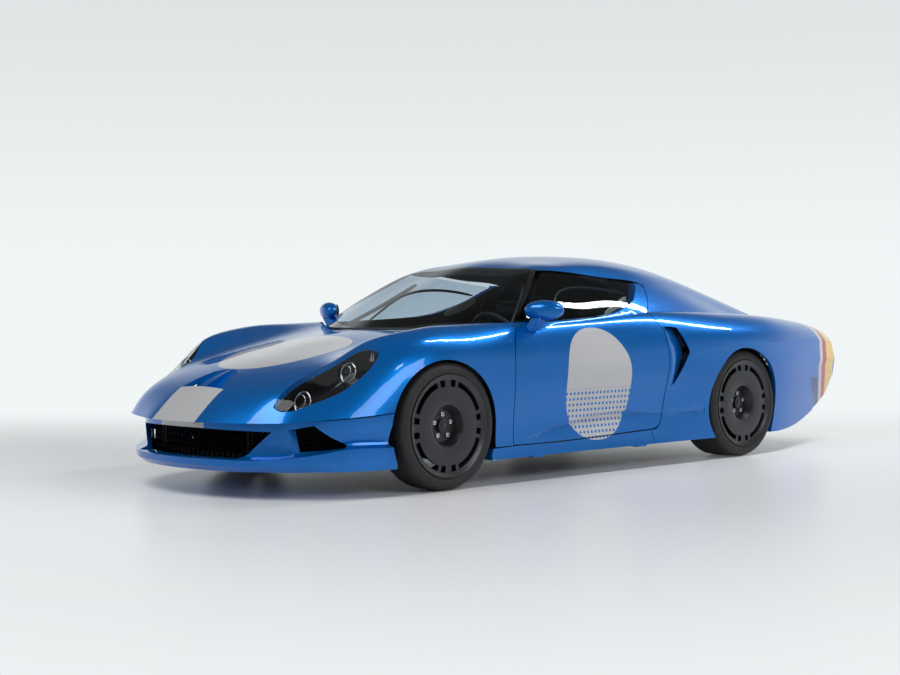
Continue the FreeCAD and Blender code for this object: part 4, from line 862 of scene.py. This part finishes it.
def near_lamp(kind):
    def test(centre, normal):
        place = Vector((centre.x, abs(centre.y), centre.z))
        for middle, radius in LAMP_UNITS:
            offset = place - middle
            along = offset.dot(LAMP_AIM)
            out = (offset - LAMP_AIM * along).length
            in_eye = offset.length < radius * EYE_SHARE + TOUCH
            if kind == "eye" and in_eye:
                return True
            in_reach = BARREL_REACH[0] < along < BARREL_REACH[1]
            if kind == "barrel" and in_reach and out < radius + 0.6 * TOUCH:
                return not in_eye
        if kind == "tube":
            first, second = LAMP_UNITS[0][0], LAMP_UNITS[1][0]
            line = (second - first).normalized()
            offset = place - (first - LAMP_AIM * TUBE_SETBACK)
            return (offset - line * offset.dot(line)).length < TUBE_LIMIT
        return False
    return test


lamps = finished["headlamps"]
print("tube faces:", second_finish(lamps, lamp_chrome, near_lamp("tube")))
print("barrel faces:", second_finish(lamps, satin_alloy, near_lamp("barrel")))
print("eye faces:", second_finish(lamps, lamp_eye, near_lamp("eye")))

for side, word in ((1, "left"), (-1, "right")):
    rings = []
    for middle, radius in LAMP_UNITS:
        aim = mirrored_about_middle(LAMP_AIM, side)
        turn = aim.to_track_quat("Z", "Y").to_euler()
        for share, offset, thick in RINGS:
            place = mirrored_about_middle(middle + LAMP_AIM * offset, side)
            ring = start(bpy.ops.mesh.primitive_torus_add, "ring", lamp_chrome, location=place,
                         rotation=turn, major_segments=64, minor_segments=12,
                         major_radius=radius * share, minor_radius=thick)
            settle(ring)
            rings.append(ring)
    band = joined(rings, f"lamp_rings_{word}")
    smooth(band, 60)
    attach(band, body_of("headlamps"))

# %% [markdown]
# The seats are bucket shells with three pads each. A shell's back is drawn as the seat's side profile,
# pulled out to its width and thickened, and its two wings are filled outlines with some depth. A pad
# starts as a rounded block a little under its size. It is remeshed and blown up as cloth, with a cap on
# how far a point may move, so that it crowns between its edges as filled leather does. Sewn channels
# are pressed in afterwards, and the right seat's pads are copies of the left one's.

# %% Seat shells
SEAT_MIDDLE = 0.345
SHELL_HALF = 0.213
WING_DEPTH = 0.020
BACK_THICKNESS = 0.012
BACK_LINE = [(0.336, 0.160), (-0.178, 0.160), (-0.200, 0.235), (-0.270, 0.480), (-0.340, 0.760),
             (-0.354, 0.936)]
WING_LINE = [(0.340, 0.158), (0.358, 0.245), (0.342, 0.320), (0.290, 0.312), (0.150, 0.290), (0.040, 0.286),
             (-0.055, 0.300), (-0.100, 0.360), (-0.155, 0.480), (-0.210, 0.640), (-0.245, 0.760),
             (-0.270, 0.870), (-0.282, 0.930), (-0.318, 0.958), (-0.360, 0.944), (-0.345, 0.760),
             (-0.275, 0.480), (-0.205, 0.235), (-0.186, 0.158)]


def seat_shell(word, middle):
    back = drawn_line("back", [(x, middle - SHELL_HALF, z) for x, z in BACK_LINE], black_plastic)
    pulled(back, (0, 2 * SHELL_HALF, 0))
    outward(back)
    modified(back, "SOLIDIFY", thickness=BACK_THICKNESS, offset=0)
    modified(back, "BEVEL", width=0.003, segments=2, limit_method="ANGLE", angle_limit=radians(40))
    parts = [back]
    for side in (1, -1):
        y = middle + side * SHELL_HALF
        ring = [(x, y, z) for x, z in WING_LINE + WING_LINE[:1]]
        wing = drawn_line("wing", ring, dark_leather)
        merge_points(wing, 1e-5)
        edit_all(wing)
        bpy.ops.mesh.edge_face_add()
        leave_edit()
        pulled(wing, (0, side * WING_DEPTH, 0))
        outward(wing)
        modified(wing, "BEVEL", width=0.007, segments=4, limit_method="ANGLE", angle_limit=radians(50))
        parts.append(wing)
    shell = joined(parts, f"seat_shell_{word}")
    smooth(shell, 40)
    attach(shell, body_of("seats"))
    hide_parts("seats")
    return len(shell.data.polygons)


for side, word in ((1, "left"), (-1, "right")):
    print("shell", word, "faces:", seat_shell(word, side * SEAT_MIDDLE))

# %% Seat pads
VOXEL = 0.008
PAD_PRESSURE = 4.0
PAD_EDGE = 0.020
CHANNEL_DEPTH = 0.007
CHANNEL_HALF = 0.006
CLOTH_QUALITY = 4
CLOTH_MASS = 0.3
LAST_FRAME = 20
PADS = {
    "cushion": {"middle": (0.128, 0.232), "size": (0.390, 0.392, 0.066), "tilt": 3, "cap": 0.014,
                "channels": (-0.07, 0.05)},
    "backrest": {"middle": (-0.205, 0.575), "size": (0.062, 0.392, 0.490), "tilt": -15, "cap": 0.013,
                 "channels": (-0.08, 0.08)},
    "headrest": {"middle": (-0.305, 0.872), "size": (0.046, 0.240, 0.100), "tilt": -6, "cap": 0.010,
                 "channels": ()},
}


def blown_up(pad, cap):
    """Swells the pad as cloth under pressure, with every point kept within the cap of its start."""
    pick(pad)
    starts = [point.co.copy() for point in pad.data.vertices]
    cloth = pad.modifiers.new("Cloth", "CLOTH")
    cloth.settings.quality = CLOTH_QUALITY
    cloth.settings.mass = CLOTH_MASS
    cloth.settings.use_pressure = True
    cloth.settings.uniform_pressure_force = PAD_PRESSURE
    cloth.settings.effector_weights.gravity = 0
    cloth.point_cache.frame_start = 1
    cloth.point_cache.frame_end = LAST_FRAME
    for number in range(1, LAST_FRAME + 1):
        bpy.context.scene.frame_set(number)
    bpy.ops.object.modifier_apply(modifier=cloth.name)
    bpy.context.scene.frame_set(1)
    for point, begin in zip(pad.data.vertices, starts):
        moved = point.co - begin
        if moved.length > cap:
            point.co = begin + moved * (cap / moved.length)


def seat_pad(kind, finish, facts):
    (x, z), size, cap = facts["middle"], facts["size"], facts["cap"]
    pad = start(bpy.ops.mesh.primitive_cube_add, f"seat_{kind}_left", finish, size=1, location=(0, 0, 0))
    stretched(pad, size)
    modified(pad, "BEVEL", width=PAD_EDGE, segments=4)
    modified(pad, "REMESH", mode="VOXEL", voxel_size=VOXEL)
    blown_up(pad, cap)
    long_way = 0 if size[0] > size[2] else 2
    face_way = 2 - long_way
    for point in pad.data.vertices:
        if point.co[face_way] > 0 and abs(point.co.y) < size[1] / 2 - PAD_EDGE:
            for channel in facts["channels"]:
                nearness = math.exp(-((point.co[long_way] - channel) / CHANNEL_HALF) ** 2)
                point.co[face_way] -= CHANNEL_DEPTH * nearness
    modified(pad, "SUBSURF", levels=1, render_levels=1)
    pad.rotation_euler = (0, radians(facts["tilt"]), 0)
    pad.location = (x, SEAT_MIDDLE, z)
    settle(pad)
    smooth(pad, 80)
    twin = own_copy(pad, f"seat_{kind}_right")
    twin.location = (0, -2 * SEAT_MIDDLE, 0)
    settle(twin)
    for made in (pad, twin):
        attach(made, body_of("seats"))
        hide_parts("seats")
    return len(pad.data.polygons)


for kind, facts in PADS.items():
    print(kind, "faces:", seat_pad(kind, dark_leather, facts))

# %% [markdown]
# Slim strips finish the inside: a dark cover on each windscreen pillar, the dark frame of the side
# window, and a cream trim behind it. Each is drawn as a chain of edges, pulled inwards to a ribbon, and
# given its thickness and rounded edges by modifiers.

# %% Strips inside the glass
STRIP_THICKNESS = 0.008
trim_cream = grained("TrimCream", (0.62, 0.58, 0.47), 0.62, 480, 0.06, 0.25, 0.001)
PILLAR_LINE = [(0.40, 0.440, 1.040), (0.47, 0.490, 0.986), (0.575, 0.562, 0.910), (0.69, 0.632, 0.838),
               (0.760, 0.676, 0.798)]
FRAME_LINE = [(0.505, 0.745, 0.822), (0.412, 0.672, 0.918), (0.340, 0.616, 0.980), (0.195, 0.586, 1.010),
              (-0.048, 0.592, 1.004), (-0.255, 0.612, 0.972)]
CREAM_LINE = [(-0.262, 0.612, 0.962), (-0.150, 0.632, 0.912), (-0.020, 0.655, 0.866)]
STRIPS = {
    "pillar_trim": (PILLAR_LINE, (-0.012, -0.020, -0.010), "windscreen_frame", black_plastic),
    "window_frame": (FRAME_LINE, (0.004, -0.006, -0.014), "door_{}", black_plastic),
    "window_trim": (CREAM_LINE, (-0.022, -0.004, -0.040), "door_{}", trim_cream),
}


def strip(name, line, inwards, finish, side):
    dx, dy, dz = inwards
    trim = drawn_line(name, [(x, y * side, z) for x, y, z in line], finish)
    pulled(trim, (dx, dy * side, dz))
    outward(trim)
    modified(trim, "SUBSURF", levels=2, render_levels=2)
    modified(trim, "SOLIDIFY", thickness=STRIP_THICKNESS)
    modified(trim, "BEVEL", width=0.002, segments=3, limit_method="ANGLE", angle_limit=radians(50))
    smooth(trim, 40)
    return trim


for kind, (line, inwards, carrier, finish) in STRIPS.items():
    for side, word in ((1, "left"), (-1, "right")):
        trim = strip(f"{kind}_{word}", line, inwards, finish, side)
        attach(trim, body_of(carrier.format(word)))
print("strips:", 2 * len(STRIPS))

# %% [markdown]
# A door mirror's glass sits in a dark frame on the rear of its shell. Both start as cylinders that are
# scaled to an oval in edit mode: a deeper plate for the frame and a thin bevelled one for the glass.

# %% Mirror glass
MIRROR_MIDDLE = (0.703, 0.871, 0.877)
MIRROR_SWEEP = radians(30)
MIRROR_OVAL = (0.080, 0.036)
mirror_silver = grained("MirrorSilver", (0.80, 0.82, 0.83), 0.02, 30, 0.01, Metallic=1.0)
MIRROR_PLATES = (("frame", black_plastic, 1.08, 0.036, 0.020), ("glass", mirror_silver, 1.0, 0.0445, 0.005))
for side, word in ((1, "left"), (-1, "right")):
    middle = Vector((MIRROR_MIDDLE[0], MIRROR_MIDDLE[1] * side, MIRROR_MIDDLE[2]))
    backwards = Vector((-cos(MIRROR_SWEEP), -sin(MIRROR_SWEEP) * side, 0))
    turn = backwards.to_track_quat("Z", "Y").to_euler()
    shells = []
    for name, finish, share, offset, depth in MIRROR_PLATES:
        plate = start(bpy.ops.mesh.primitive_cylinder_add, name, finish, vertices=64, radius=1.0,
                      depth=depth, location=(0, 0, 0))
        stretched(plate, (MIRROR_OVAL[0] * share, MIRROR_OVAL[1] * share, 1))
        plate.rotation_euler = turn
        plate.location = middle + backwards * offset
        settle(plate)
        modified(plate, "BEVEL", width=0.0018, segments=3, limit_method="ANGLE", angle_limit=radians(50))
        shells.append(plate)
    glass_piece = joined(shells, f"mirror_glass_{word}")
    smooth(glass_piece, 40)
    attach(glass_piece, body_of(f"mirror_{word}"))
print("mirrors: 2")
